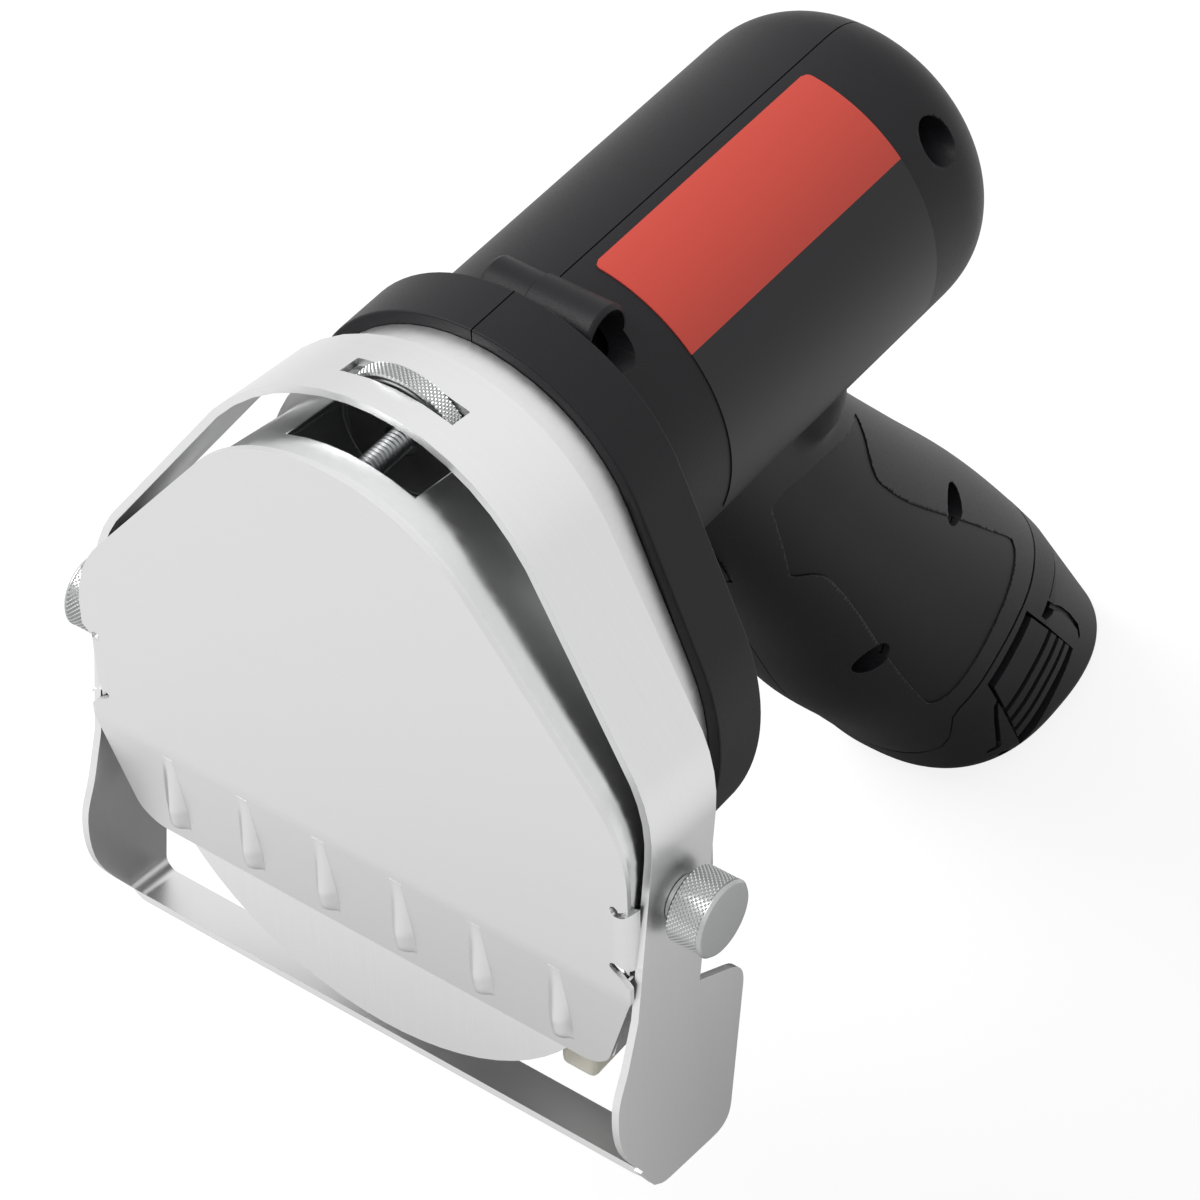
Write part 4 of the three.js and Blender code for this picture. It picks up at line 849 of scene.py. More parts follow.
@dataclass
class Thumbscrews:
    """Two knurled screws that the hoop turns on."""

    y: float = 8.5
    z: float = 10.5
    seat: float = 56.1
    neck_radius: float = 4.0
    neck_length: float = 1.6
    knob_radius: float = 6.8
    knob_length: float = 6.9
    screw_radius: float = 2.5
    screw_end: float = 47.7
    chamfer: float = 0.5
    knurl_height: float = 0.3
    steps: int = 188
    rows: int = 27

    def knob(self, side: int, name: str) -> bpy.types.Object:
        """Turn one screw with its knurled head.

        Args:
            side: 1 for the right screw and -1 for the left.
            name: Name of the new object.

        Returns:
            The new object.
        """
        start = self.seat + self.neck_length
        end = start + self.knob_length
        rim = self.knob_radius - self.knurl_height
        rows = evenly(start + self.chamfer, end - self.chamfer - 0.3, self.rows)
        face = self.knob_radius - self.chamfer
        profile = [(0.0, self.screw_end), (self.screw_radius - 0.3, self.screw_end),
                   (self.screw_radius, self.screw_end + 0.4), (self.screw_radius, self.seat),
                   (self.neck_radius, self.seat), (self.neck_radius, start), (rim - self.chamfer, start),
                   *((rim, row) for row in rows),
                   (self.knob_radius, end - self.chamfer - 0.15), (self.knob_radius, end - self.chamfer),
                   (face + 0.1, end - 0.05), (face - 0.3, end), (0.0, end)]
        middle = at(0, self.y, self.z)
        mirrored = [(radius, side * along) for radius, along in profile]
        knob = turned(name, mirrored, Axis.X, middle, self.steps)
        knurl(knob, Axis.X, middle, rim, [side * row for row in rows], self.steps, self.knurl_height)
        smooth(knob, 14.0)
        return knob

    def build(self) -> None:
        """Build both screws and dress them."""
        for name, side in (("left", -1), ("right", 1)):
            knob = self.knob(side, f"knurled_thumbscrew_{name}")
            dress(knob, TURNED_STEEL, f"{name}_thumbscrew", [f"thumbscrew_{name}"])


@dataclass
class Handle:
    """The handle's lean and skin, shared by the shell, its panels and the battery.

    In the handle's own frame s runs down from the motor's axis and n runs to the handle's back.
    """

    start: float = 76.5
    axis_height: float = 47.5
    tilt: float = math.radians(33.3)
    half_width: float = 22.5
    half_depth: float = 27.0
    parting: float = 145.5
    end: float = 216.0
    corner_power: float = 0.8
    points: int = 128
    reach: float = 45.0
    # A cutter that stands this far out of the skin, or further, isn't trimmed to it.
    clear: float = 9.0
    # Place down to the parting, then half-width, half-depth and middle, all as shares.
    stations: tuple[tuple[float, float, float, float], ...] = (
        (0.0, 0.62, 0.62, -0.06),
        (0.247, 0.7, 0.68, -0.08),
        (0.426, 0.82, 0.76, -0.1),
        (0.619, 0.91, 0.87, -0.09),
        (0.825, 0.97, 1.0, -0.08),
        (1.017, 1.02, 1.0, -0.015),
        (1.182, 1.07, 0.99, 0.0),
        (1.512, 0.92, 1.06, -0.16),
    )
    # The line across the side where the battery leaves the housing, from back to front: (n, s).
    parting_line: tuple[tuple[float, float], ...] = (
        (45.0, 155.0), (24.0, 149.0), (17.0, 146.8), (6.0, 145.2), (-3.0, 144.8), (-14.4, 145.3),
        (-16.4, 146.6), (-19.2, 153.6), (-21.2, 156.6), (-24.0, 157.6), (-45.0, 158.0),
    )

    def place(self, x: float, n: float, s: float) -> Vector:
        """Turn a place in the handle's frame into the row frame."""
        y = self.start + n * math.cos(self.tilt) + s * math.sin(self.tilt)
        z = self.axis_height + n * math.sin(self.tilt) - s * math.cos(self.tilt)
        return at(x, y, z)

    def section(self, s: float) -> list[float]:
        """Give the half-width, half-depth and middle shares at a place down the handle.

        Args:
            s: Place down the handle in millimetres.

        Returns:
            The shares, on a smooth curve through the stations.
        """
        share = s / self.parting
        i = max(j for j, station in enumerate(self.stations[:-1]) if j == 0 or station[0] <= share)
        near = [self.stations[max(0, min(len(self.stations) - 1, j))] for j in range(i - 1, i + 3)]
        span = near[2][0] - near[1][0]
        t = (share - near[1][0]) / span
        shares = []
        for before, low, high, after in zip(*(station[1:] for station in near)):
            rise_low = (high - before) / (near[2][0] - near[0][0]) * span
            rise_high = (after - low) / (near[3][0] - near[1][0]) * span
            bend = low * (1 + 2 * t) * (1 - t) ** 2 + high * t * t * (3 - 2 * t)
            shares.append(bend + rise_low * t * (1 - t) ** 2 - rise_high * t * t * (1 - t))
        return shares

    def skin(self, turn: float, s: float, inset: float) -> tuple[float, float]:
        """Give the skin's x and n at an angle round the handle and a place down it."""
        width, depth, middle = self.section(s)
        cosine, sine = math.cos(turn), math.sin(turn)
        x = (self.half_width * width - inset) * math.copysign(abs(cosine) ** self.corner_power, cosine)
        rise = (self.half_depth * depth - inset) * math.copysign(abs(sine) ** self.corner_power, sine)
        return x, self.half_depth * middle + rise

    def ring(self, s: float, inset: float) -> list[Vector]:
        """Give the skin's points round one place down the handle."""
        turns = [2 * math.pi * i / self.points for i in range(self.points)]
        return [self.place(*self.skin(turn, s, inset), s) for turn in turns]

    def level_ring(self, height: float, inset: float) -> list[Vector]:
        """Give the skin's points at one height, in millimetres from the blade's middle."""
        points = []
        for i in range(self.points):
            turn = 2 * math.pi * i / self.points
            s = self.parting
            for _ in range(12):
                n = self.skin(turn, s, inset)[1]
                s = (self.axis_height + n * math.sin(self.tilt) - height) / math.cos(self.tilt)
            points.append(self.place(*self.skin(turn, s, inset), s))
        return points

    def tube(self, name: str, inset: float, first: float, last: float) -> bpy.types.Object:
        """Stretch a solid over the skin between two places down the handle."""
        return lofted(name, [self.ring(s, inset) for s in evenly(first, last, int((last - first) / 2.0))])

    def side_slab(self, name: str, outline: Outline, low: float, high: float) -> bpy.types.Object:
        """Extrude an outline of (n, s) points from one x to another."""
        return slab(name, [self.place(low, n, s) for n, s in outline], Vector(((high - low) * MM, 0, 0)))

    def inlay(self, name: str, outline: Outline, side: int, proud: float, depth: float) -> bpy.types.Object:
        """Build the part of the skin inside an outline, as a plate of even depth.

        Args:
            name: Name of the new object.
            outline: Points of (n, s) on the handle's side.
            side: 1 for the right side and -1 for the left.
            proud: How far the plate stands out of the skin.
            depth: How far it goes into the skin.

        Returns:
            The new object.
        """
        plate = self.side_slab(name, outline, side * 3.0, side * self.reach)
        if proud < self.clear:
            combine(plate, Way.BOTH, self.tube("skin", -proud, 1.0, self.end))
        cut_with(plate, self.tube("lining", depth, 0.5, self.end + 1))
        return plate

    def below_parting(self, drop: float) -> Outline:
        """Give an outline of everything under the parting line, moved down by a distance."""
        line = [(n, s + drop) for n, s in self.parting_line]
        return [*line, (-self.reach, 260.0), (self.reach, 260.0)]

    def above_parting(self, drop: float) -> Outline:
        """Give an outline of everything over the parting line, moved down by a distance."""
        line = [(n, s + drop) for n, s in self.parting_line]
        return [*line, (-self.reach, -20.0), (self.reach, -20.0)]


HANDLE = Handle()


@dataclass
class Housing:
    """Moulded shell in two halves, with its screws, grip panels and trigger."""

    voxel: float = 0.75
    passes: int = 30
    wall: float = 2.8
    seam: float = 0.26
    axis_height: float = 47.5
    flange_front: float = 33.4
    flange_back: float = 44.7
    flange_lip: float = 2.4
    flange_edge: float = 0.35
    flange_top_radius: float = 31.6
    flange_side_radius: float = 43.8
    flange_side_height: float = 15.3
    flange_low_radius: float = 36.0
    barrel_radius: float = 28.8
    barrel_end: float = 144.2
    barrel_round: float = 14.0
    # The soft web that fills the corner behind the handle's top.
    web_middle: tuple[float, float, float] = (0.0, 106.0, 19.5)
    web_reach: tuple[float, float, float] = (19.0, 13.0, 12.0)
    boss_radius: float = 5.4
    boss_step: float = 0.35
    boss_left: float = 9.0
    boss_right: float = 13.3
    boss_recess: float = 4.4
    boss_y: float = 50.2
    boss_z: float = 74.5
    recess_radius: float = 3.6
    recess_floor: float = 5.9
    post_radius: float = 5.0
    post_reach: float = 40.0
    hole_room: float = 0.1
    head_radius: float = 2.8
    head_height: float = 2.0
    shank_radius: float = 1.5
    shank_end: float = -10.1
    slot_width: float = 0.7
    slot_length: float = 2.9
    groove: float = 0.4
    panel_sink: float = 0.25
    panel_depth: float = 1.4
    panel_edge: float = 0.3
    trigger_half_width: float = 7.8
    trigger_top: float = 33.7
    trigger_low: float = 59.3
    trigger_front: float = -30.0
    trigger_stop: float = -14.0
    trigger_voxel: float = 0.4
    trigger_passes: int = 5
    # The grip panel's outline, each corner as (n, s, distance over which it is rounded).
    panel: tuple[tuple[float, float, float], ...] = (
        (14.8, 59.6, 1.5), (1.6, 45.8, 9.0), (-9.6, 40.2, 3.0), (-16.7, 62.2, 1.2), (-12.6, 68.4, 5.0),
        (-13.4, 83.0, 9.0), (-17.3, 113.6, 12.0), (-18.2, 138.4, 7.0), (-5.0, 138.5, 8.0), (7.0, 137.6, 8.0),
        (18.0, 137.2, 5.0), (12.6, 108.0, 12.0), (7.2, 82.0, 11.0), (6.6, 66.5, 5.5),
    )

    def screw_places(self) -> list[tuple[float, float]]:
        """Give the middles of the four housing screws as (y, z) in the row frame, in metres."""
        boxes = [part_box(f"housing_screw_{number}") for number in range(1, 5)]
        return [((low.y + high.y) / 2, (low.z + high.z) / 2) for low, high in boxes]

    def flange_outline(self, offset: float) -> Outline:
        """Give the flange's outline, which follows the gear case."""
        return hull([
            *circle(0.0, self.axis_height, self.flange_top_radius + offset),
            *circle(0.0, self.flange_side_height, self.flange_side_radius + offset, 144),
            *circle(0.0, 0.0, self.flange_low_radius + offset),
        ])

    def barrel(self, name: str, inset: float, front: float) -> bpy.types.Object:
        """Turn the barrel with its rounded back end."""
        radius = self.barrel_radius - inset
        turn_radius = self.barrel_round - inset
        end = self.barrel_end - inset
        turns = [math.pi / 2 * i / 16 for i in range(17)]
        inner, middle = radius - turn_radius, end - turn_radius
        curve = [(inner + turn_radius * math.cos(t), middle + turn_radius * math.sin(t)) for t in turns]
        profile = [(0.0, front), (radius, front), *curve, (0.0, end)]
        return turned(name, profile, Axis.Y, at(0, 0, self.axis_height), 144)

    def boss(self, name: str, radius: float, first: float, last: float) -> bpy.types.Object:
        """Turn one half of the screw boss on top, with its end softly rounded."""
        inner, outer = sorted((first, last), key=abs)
        step = math.copysign(0.7, outer)
        profile = [(0.0, inner), (radius, inner), (radius, outer - step), (radius - 0.2, outer - step / 3),
                   (radius - 0.7, outer), (0.0, outer)]
        return turned(name, profile, Axis.X, at(0, self.boss_y, self.boss_z), 64)

    def cavity(self) -> bpy.types.Object:
        """Build the hollow that the motor and the battery go into, less the screw posts."""
        hollow = self.barrel("hollow", self.wall, self.flange_front - 1)
        lining = self.flange_outline(self.flange_lip - self.wall)
        back = self.flange_back - self.wall
        combine(hollow, Way.ADD, slab_y("flange_hollow", lining, self.flange_front - 1, back))
        combine(hollow, Way.ADD, HANDLE.tube("grip_hollow", self.wall, 2.0, HANDLE.end))
        for y, z in self.screw_places()[1:]:
            profile = [(0.0, -self.post_reach), (self.post_radius, -self.post_reach),
                       (self.post_radius, self.post_reach), (0.0, self.post_reach)]
            cut_with(hollow, turned("post", profile, Axis.X, Vector((0, y, z)), 48))
        return hollow

    def screw_holes(self) -> list[bpy.types.Object]:
        """Build the cutter for each screw: a wide recess from the right and a narrow hole beyond."""
        holes = []
        for number, (y, z) in enumerate(self.screw_places()):
            recess = self.recess_radius if number else self.boss_recess
            bore = self.shank_radius + self.hole_room
            profile = [(0.0, self.shank_end), (bore, self.shank_end), (bore, self.recess_floor),
                       (recess, self.recess_floor), (recess, self.post_reach), (0.0, self.post_reach)]
            holes.append(turned("screw_hole", profile, Axis.X, Vector((0, y, z)), 48))
        return holes

    def shell(self) -> bpy.types.Object:
        """Mould the whole shell in one, before it is split at the seam."""
        grip = HANDLE.tube("moulded_shell", 0.0, 1.0, HANDLE.end)
        web = new_primitive("web", bpy.ops.mesh.primitive_uv_sphere_add, radius=MM, segments=48,
                            ring_count=24, location=at(*self.web_middle), scale=self.web_reach)
        shell = join(grip, self.barrel("barrel", 0.0, self.flange_front + 1), web)
        soften(shell, self.voxel, self.passes)
        flange = slab_y("flange", self.flange_outline(self.flange_lip), self.flange_front, self.flange_back)
        round_edges(flange, self.flange_edge, segments=3)
        combine(shell, Way.ADD, flange)
        combine(shell, Way.ADD, self.boss("boss", self.boss_radius, 0.0, self.boss_right))
        combine(shell, Way.ADD, self.boss("boss", self.boss_radius - self.boss_step, 0.05, -self.boss_left))
        reach = HANDLE.reach
        cut_with(shell, self.cavity(), HANDLE.side_slab("parting", HANDLE.below_parting(0.0), -reach, reach))
        outline = [(self.trigger_front, self.trigger_top), (self.trigger_stop, self.trigger_top),
                   (self.trigger_stop, self.trigger_low), (self.trigger_front, self.trigger_low)]
        half = self.trigger_half_width
        cut_with(shell, HANDLE.side_slab("trigger_opening", outline, -half, half))
        cut_with(shell, *self.screw_holes())
        return shell

    def panel_outline(self, inset: float) -> Outline:
        """Give the grip panel's outline with its corners rounded, moved inward by a distance."""
        return inward(rounded(self.panel, 8), inset)

    def split(self, shell: bpy.types.Object, name: str, side: int) -> bpy.types.Object:
        """Keep one half of the shell.

        Args:
            shell: The whole shell.
            name: Name of the new object.
            side: 1 for the right half and -1 for the left.

        Returns:
            The half, closed at the seam, with the pocket for its grip panel.
        """
        half = shell.copy()
        half.data = shell.data.copy()
        half.name = name
        half.data.name = name
        bpy.context.scene.collection.objects.link(half)
        gap = self.seam / 2
        keep = new_primitive("half_space", bpy.ops.mesh.primitive_cube_add, size=0.5,
                             location=(side * (0.25 + gap * MM), 0.05, 0.1))
        combine(half, Way.BOTH, keep)
        depth = self.panel_depth + self.groove
        cut_with(half, HANDLE.inlay("pocket", self.panel_outline(-self.groove), side, HANDLE.clear, depth))
        smooth(half, 38.0)
        return half

    def grip_panel(self, name: str, side: int) -> bpy.types.Object:
        """Mould one grip panel, sunk a little into the shell."""
        panel = HANDLE.inlay(name, self.panel_outline(self.groove), side, -self.panel_sink, self.panel_depth)
        if side > 0:
            cut_with(panel, *self.screw_holes())
        round_edges(panel, self.panel_edge, 50.0)
        return panel

    def screw(self, number: int) -> bpy.types.Object:
        """Turn one housing screw and cut the cross in its head."""
        low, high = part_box(f"housing_screw_{number}")
        middle = Vector((high.x, (low.y + high.y) / 2, (low.z + high.z) / 2))
        end = (low.x - high.x) / MM
        profile = [(0.0, end), (self.shank_radius - 0.5, end), (self.shank_radius, end + 0.8),
                   (self.shank_radius, -self.head_height), (self.head_radius, -self.head_height),
                   (self.head_radius, -0.7), (self.head_radius - 0.5, -0.2), (self.head_radius - 1.2, 0.0),
                   (0.0, 0.0)]
        screw = turned(f"cross_head_screw_{number}", profile, Axis.X, middle, 32)
        for across, along in ((self.slot_width, self.slot_length), (self.slot_length, self.slot_width)):
            slot = new_primitive("slot_cutter", bpy.ops.mesh.primitive_cube_add, size=1.0, location=middle,
                                 rotation=(math.radians(20.0 * number), 0, 0),
                                 scale=(2.0 * MM, across * MM, along * MM))
            cut_with(screw, slot)
        smooth(screw, 30.0)
        return screw

    def build(self) -> None:
        """Build the shell and what is fixed to it and dress them."""
        shell = self.shell()
        for name, side in (("right", 1), ("left", -1)):
            half = self.split(shell, f"moulded_shell_{name}", side)
            dress(half, BLACK_ABS, "housing", [f"housing_{name}"])
            panel = self.grip_panel(f"soft_panel_{name}", side)
            dress(panel, GRIP_ELASTOMER, "housing", [f"grip_panel_{name}"])
        bpy.data.objects.remove(shell)
        for number in range(1, 5):
            dress(self.screw(number), MACHINED_STEEL, "housing", [f"housing_screw_{number}"])
        trigger = copy_node("trigger", "moulded_trigger")
        soften(trigger, self.trigger_voxel, self.trigger_passes)
        dress(trigger, BLACK_ABS, "trigger_piece", ["trigger"])


@dataclass
class Labels:
    """Printed film on the barrel's right side: a red part above a black part."""

    axis_height: float = 47.5
    radius: float = 28.7
    thickness: float = 0.3
    front: float = 61.2
    back: float = 119.7
    top: float = 5.0
    split: float = 47.75
    low: float = 112.0
    corner: float = 1.4

    def film(self, name: str, first: float, last: float, round_first: bool) -> bpy.types.Object:
        """Wrap one part of the film round the barrel.

        Args:
            name: Name of the new object.
            first: Angle of its upper edge below the barrel's top, in degrees.
            last: Angle of its lower edge.
            round_first: True where the upper corners are rounded, or else the lower ones are.

        Returns:
            The new object.
        """
        along, round_the_barrel = 40, 48
        film = new_primitive(name, bpy.ops.mesh.primitive_grid_add, x_subdivisions=along,
                             y_subdivisions=round_the_barrel)
        arc = math.radians(last - first) * self.radius
        for vertex in film.data.vertices:
            run = (vertex.co.y + 1) / 2
            inset = 0.0
            reach = run * arc if round_first else (1 - run) * arc
            if reach < self.corner:
                inset = self.corner - math.sqrt(self.corner ** 2 - (self.corner - reach) ** 2)
            middle, half = (self.front + self.back) / 2, (self.back - self.front) / 2
            y = middle + vertex.co.x * (half - inset)
            angle = math.radians(first) + run * math.radians(last - first)
            vertex.co = at(self.radius * math.sin(angle), y, self.axis_height + self.radius * math.cos(angle))
        with editing(film):
            bpy.ops.mesh.remove_doubles(threshold=0.002 * MM)
            bpy.ops.mesh.normals_make_consistent(inside=False)
        outward = sum(face.normal.x for face in film.data.polygons)
        modify(film, "SOLIDIFY", thickness=self.thickness * MM, offset=1.0 if outward > 0 else -1.0)
        smooth(film, 40.0)
        return film

    def build(self) -> None:
        """Build both parts of the film and dress them."""
        red = self.film("red_label_film", self.top, self.split, True)
        dress(red, RED_FILM, "housing", ["label_red"])
        black = self.film("black_label_film", self.split, self.low, False)
        dress(black, BLACK_FILM, "housing", ["label_black"])


@dataclass
class Battery:
    """Slide-in battery with a ribbed, sprung latch between two brackets on each side."""

    top: float = 60.0
    foot_start: float = 160.0
    foot_height: float = -114.0
    foot_round: float = 8.0
    gap: float = 0.8
    edge: float = 0.25
    cell_radius: float = 8.0
    cell_pitch: float = 16.3
    cell_middle: float = -1.0
    cell_room: float = 0.3
    sleeve: float = 1.5
    sleeve_top: float = 122.9
    sleeve_bottom: float = 177.0
    latch_floor: float = 19.2
    latch_back: float = 21.15
    rib_floor: float = 22.3
    rib_width: float = 1.8
    # Outlines and lines on the side, as (n, s).
    pocket: tuple[tuple[float, float], ...] = ((-7.8, 148.3), (8.0, 148.3), (9.4, 178.8), (-12.0, 178.8))
    latch: tuple[tuple[float, float], ...] = ((-7.4, 151.6), (7.6, 151.6), (8.8, 174.2), (-11.2, 174.2))
    rib_places: tuple[float, ...] = (160.8, 165.3, 169.8)
    notch: tuple[tuple[float, float], ...] = (
        (12.6, 156.4), (13.0, 161.2), (11.1, 160.3), (9.2, 158.0), (9.2, 155.6),
    )
    bracket_lines: tuple[tuple[tuple[float, float], ...], ...] = (
        ((12.6, 161.0), (13.3, 165.0), (13.8, 172.0), (13.6, 179.0), (12.4, 181.0)),
        ((-7.8, 156.0), (-9.7, 156.9), (-11.4, 160.6), (-12.8, 165.0), (-14.5, 170.1)),
        ((-16.6, 170.2), (-14.6, 171.2)),
        ((-15.6, 174.8), (-14.2, 176.6)),
    )
    bracket_width: float = 1.1
    bracket_depth: float = 1.2
    step_line: tuple[tuple[float, float], ...] = ((13.2, 157.0), (16.7, 158.2), (20.6, 160.3), (25.0, 162.8))
    step_width: float = 0.4
    step_depth: float = 0.5
    notch_depth: float = 2.0
    rib_half_length: float = 14.0

    def bundle(self, name: str, room: float, first: float, last: float) -> bpy.types.Object:
        """Build a solid round the four cells, between two places down the handle."""
        half = self.cell_pitch / 2
        corners = [(x * half, self.cell_middle + n * half) for x in (-1, 1) for n in (-1, 1)]
        outline = hull([point for x, n in corners for point in circle(x, n, self.cell_radius + room, 64)])
        points = [HANDLE.place(x, n, first) for x, n in outline]
        return slab(name, points, HANDLE.place(0, 0, last) - HANDLE.place(0, 0, first))

    def outside(self) -> bpy.types.Object:
        """Carry the handle's skin on to a level foot with rounded edges."""
        rings = [HANDLE.ring(s, 0.0) for s in evenly(self.top, self.foot_start, 50)]
        for i in range(13):
            turn = math.pi / 2 * i / 12
            height = self.foot_height + self.foot_round * (1 - math.sin(turn))
            rings.append(HANDLE.level_ring(height, self.foot_round * (1 - math.cos(turn))))
        return lofted("moulded_battery_case", rings)

    def case(self) -> bpy.types.Object:
        """Mould the case with its sleeve, latch pockets, bracket lines and step line."""
        case = self.outside()
        reach = HANDLE.reach
        cut_with(case, HANDLE.side_slab("parting", HANDLE.above_parting(self.gap), -reach, reach))
        for side in (1, -1):
            for line in self.bracket_lines:
                outline = ribbon(line, self.bracket_width)
                cutter = HANDLE.inlay("bracket_line", outline, side, HANDLE.clear, self.bracket_depth)
                cut_with(case, cutter)
            step = ribbon(self.step_line, self.step_width)
            cut_with(case, HANDLE.inlay("step", step, side, HANDLE.clear, self.step_depth))
            cut_with(case, HANDLE.inlay("notch", list(self.notch), side, HANDLE.clear, self.notch_depth))
            pocket = HANDLE.side_slab("pocket", list(self.pocket), side * self.latch_floor, side * reach)
            cut_with(case, pocket)
        round_edges(case, self.edge, 40.0)
        sleeve = self.bundle("sleeve", self.sleeve, self.sleeve_top, self.sleeve_bottom)
        combine(case, Way.ADD, sleeve)
        cut_with(case, self.bundle("cells", self.cell_room, self.sleeve_top - 1, self.sleeve_bottom + 0.1))
        smooth(case, 38.0)
        return case

    def latch_piece(self, name: str, side: int) -> bpy.types.Object:
        """Mould one latch: a plain push face above a row of grooves."""
        latch = HANDLE.side_slab(name, list(self.latch), side * self.latch_back, side * HANDLE.reach)
        combine(latch, Way.BOTH, HANDLE.tube("skin", 0.0, self.top, HANDLE.end))
        for s in self.rib_places:
            half, end = self.rib_half_length, s + self.rib_width
            outline = [(-half, s), (half, s), (half, end), (-half, end)]
            cut_with(latch, HANDLE.side_slab("rib", outline, side * self.rib_floor, side * HANDLE.reach))
        round_edges(latch, self.edge, 40.0)
        return latch

    def build(self) -> None:
        """Build the battery's case and latches and dress them."""
        dress(self.case(), BLACK_ABS, "battery", ["battery_case"])
        for name, side in (("left", -1), ("right", 1)):
            latch = self.latch_piece(f"ribbed_latch_{name}", side)
            dress(latch, BLACK_ABS, f"{name}_latch", [f"latch_{name}"])


@dataclass
class InnerParts:
    """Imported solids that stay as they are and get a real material."""

    def dress(self) -> None:
        """Give each solid that still shows the finish of its slot."""
        slots = {entry["node"]: entry["material_slot"] for entry in frame["record"]["subparts"]}
        for name, node in frame["nodes"].items():
            finish = FINISH_OF_SLOT[slots[name]]
            node.data.materials.clear()
            node.data.materials.append(finish.make())
        LOG.info("%d packed solids have a finish", len(slots))


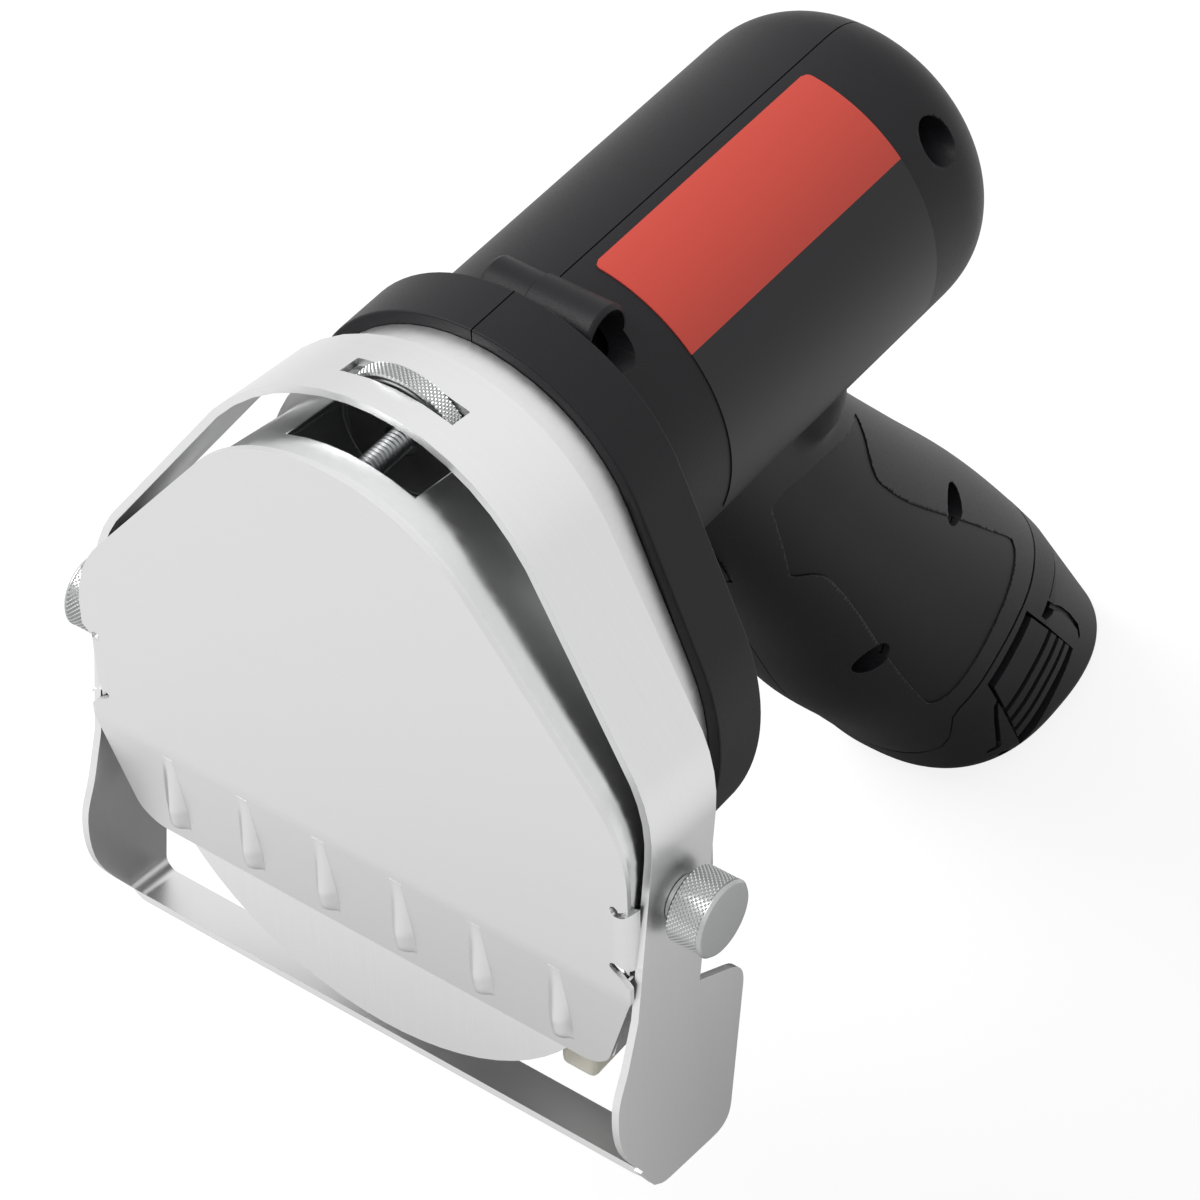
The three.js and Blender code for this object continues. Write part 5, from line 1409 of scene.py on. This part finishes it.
@dataclass
class Studio:
    """Pale floor, soft lamps, white surround and the camera."""

    lens: float = 149.73
    camera: tuple[float, float, float] = (367.09, -410.11, 586.11)
    right: tuple[float, float, float] = (0.8049, 0.5928, -0.0254)
    up: tuple[float, float, float] = (-0.4004, 0.5743, 0.7141)
    back: tuple[float, float, float] = (0.4379, -0.5646, 0.6996)
    floor_size: float = 6.0
    floor_colour: str = "#8c8c8c"
    floor_seen: float = 0.84
    # The floor's glow as seen in mirrors, with a painted shadow: it is nothing within the first distance of
    # the object's middle and reaches its full level at the second.
    floor_mirrored: float = 0.86
    floor_painted_shadow_core: float = 0.02
    floor_painted_shadow_reach: float = 0.24
    ambient: float = 0.45
    horizon: float = 0.9
    zenith: float = 1.2
    # Name, place and side in metres, and power in watts, of each lamp.
    lamps: tuple[tuple[str, tuple[float, float, float], float, float], ...] = (
        ("key_lamp", (-0.8, -0.6, 1.2), 0.8, 14.0),
        ("fill_lamp", (0.9, -1.0, 0.9), 1.0, 2.5),
    )

    def by_ray(
        self, tree: bpy.types.NodeTree, seen: float, mirrored: float | bpy.types.NodeSocket, spread: float
    ) -> bpy.types.NodeSocket:
        """Give one level to camera rays, one to mirror rays and one to the rest.

        Args:
            tree: Node tree that gets the nodes.
            seen: Level for camera rays.
            mirrored: Level for mirror rays.
            spread: Level for rays that carry diffuse light.

        Returns:
            The socket that gives the level.
        """
        path = add_node(tree, "ShaderNodeLightPath").outputs
        soft = {"Value": path["Is Glossy Ray"], "To Min": spread, "To Max": mirrored}
        inner = add_node(tree, "ShaderNodeMapRange", soft).outputs["Result"]
        straight = {"Value": path["Is Camera Ray"], "To Min": inner, "To Max": seen}
        return add_node(tree, "ShaderNodeMapRange", straight).outputs["Result"]

    def surround(self) -> None:
        """Light the scene from a white world that mirrors as a room: brightest overhead."""
        world = bpy.data.worlds.new("white_surround")
        bpy.context.scene.world = world
        world.use_nodes = True
        tree = world.node_tree
        tree.nodes.clear()
        direction = add_node(tree, "ShaderNodeTexCoord").outputs["Generated"]
        height = add_node(tree, "ShaderNodeSeparateXYZ", {"Vector": direction}).outputs["Z"]
        limits = {"From Max": 0.8, "To Min": self.horizon, "To Max": self.zenith}
        room = add_node(tree, "ShaderNodeMapRange", {"Value": height, **limits})
        level = self.by_ray(tree, 1.0, room.outputs["Result"], self.ambient)
        sky = add_node(tree, "ShaderNodeBackground", {"Color": (1.0, 1.0, 1.0, 1.0), "Strength": level})
        add_node(tree, "ShaderNodeOutputWorld", {"Surface": sky.outputs["Background"]})

    def floor(self) -> None:
        """Lay a pale floor that keeps the object's shadow; its glow seen in mirrors carries a painted shadow,
        darker close to the object.
        """
        floor = new_primitive("studio_floor", bpy.ops.mesh.primitive_plane_add, size=self.floor_size,
                              location=(0, 0, CAD_BOX[0][2] - 0.0002))
        material = bpy.data.materials.new("pale_studio_floor")
        material.use_nodes = True
        tree = material.node_tree
        tree.nodes.clear()
        matte = add_node(tree, "ShaderNodeBsdfDiffuse", {"Color": (*linear(self.floor_colour), 1.0)})
        place = add_node(tree, "ShaderNodeTexCoord").outputs["Object"]
        away = add_node(tree, "ShaderNodeVectorMath", {0: place}, operation="LENGTH").outputs["Value"]
        # Painted shadow: the glow that mirror rays see fades towards the object's middle, so the floor under
        # the object mirrors dark.
        limits = {"From Min": self.floor_painted_shadow_core, "From Max": self.floor_painted_shadow_reach, "To Max": self.floor_mirrored}
        mirrored = add_node(tree, "ShaderNodeMapRange", {"Value": away, **limits},
                            interpolation_type="SMOOTHSTEP")
        level = self.by_ray(tree, self.floor_seen, mirrored.outputs["Result"], 0.0)
        glow = add_node(tree, "ShaderNodeEmission", {"Color": (1.0, 1.0, 1.0, 1.0), "Strength": level})
        paint = add_node(tree, "ShaderNodeAddShader", {0: matte.outputs[0], 1: glow.outputs[0]})
        add_node(tree, "ShaderNodeOutputMaterial", {"Surface": paint.outputs[0]})
        floor.data.materials.append(material)

    def lamp(self, name: str, place: tuple[float, float, float], size: float, power: float) -> None:
        """Hang one soft square lamp and aim it at the object.

        Args:
            name: Name of the lamp.
            place: Where it hangs, in metres from the object's middle on the floor.
            size: Side of the lamp in metres.
            power: Power in watts.
        """
        light = bpy.data.lights.new(name, "AREA")
        light.shape = "SQUARE"
        light.size = size
        light.energy = power
        lamp = bpy.data.objects.new(name, light)
        bpy.context.scene.collection.objects.link(lamp)
        lamp.location = place
        lamp.rotation_euler = (Vector((0, 0, 0.1)) - Vector(place)).to_track_quat("-Z", "Y").to_euler()

    def build(self) -> None:
        """Set up the floor, the light and the camera."""
        bpy.context.scene.view_settings.view_transform = "Standard"
        self.surround()
        self.floor()
        for lamp in self.lamps:
            self.lamp(*lamp)
        lens = bpy.data.cameras.new("photo_camera")
        lens.lens = self.lens
        lens.sensor_width = 36.0
        lens.clip_start = 0.01
        camera = bpy.data.objects.new("photo_camera", lens)
        bpy.context.scene.collection.objects.link(camera)
        turn = Matrix((self.right, self.up, self.back)).transposed()
        camera.matrix_world = Matrix.LocRotScale(at(*self.camera), turn.to_quaternion(), None)
        bpy.context.scene.camera = camera


def main() -> None:
    """Build the sub-assemblies in order, then the studio."""
    logging.basicConfig(level=logging.INFO, format="%(message)s")
    InnerParts().dress()
    GuardPlate().build()
    BladeHead().build()
    GuideHoop().build()
    Thumbscrews().build()
    Housing().build()
    Labels().build()
    Battery().build()
    Studio().build()


if __name__ == "__main__":
    main()
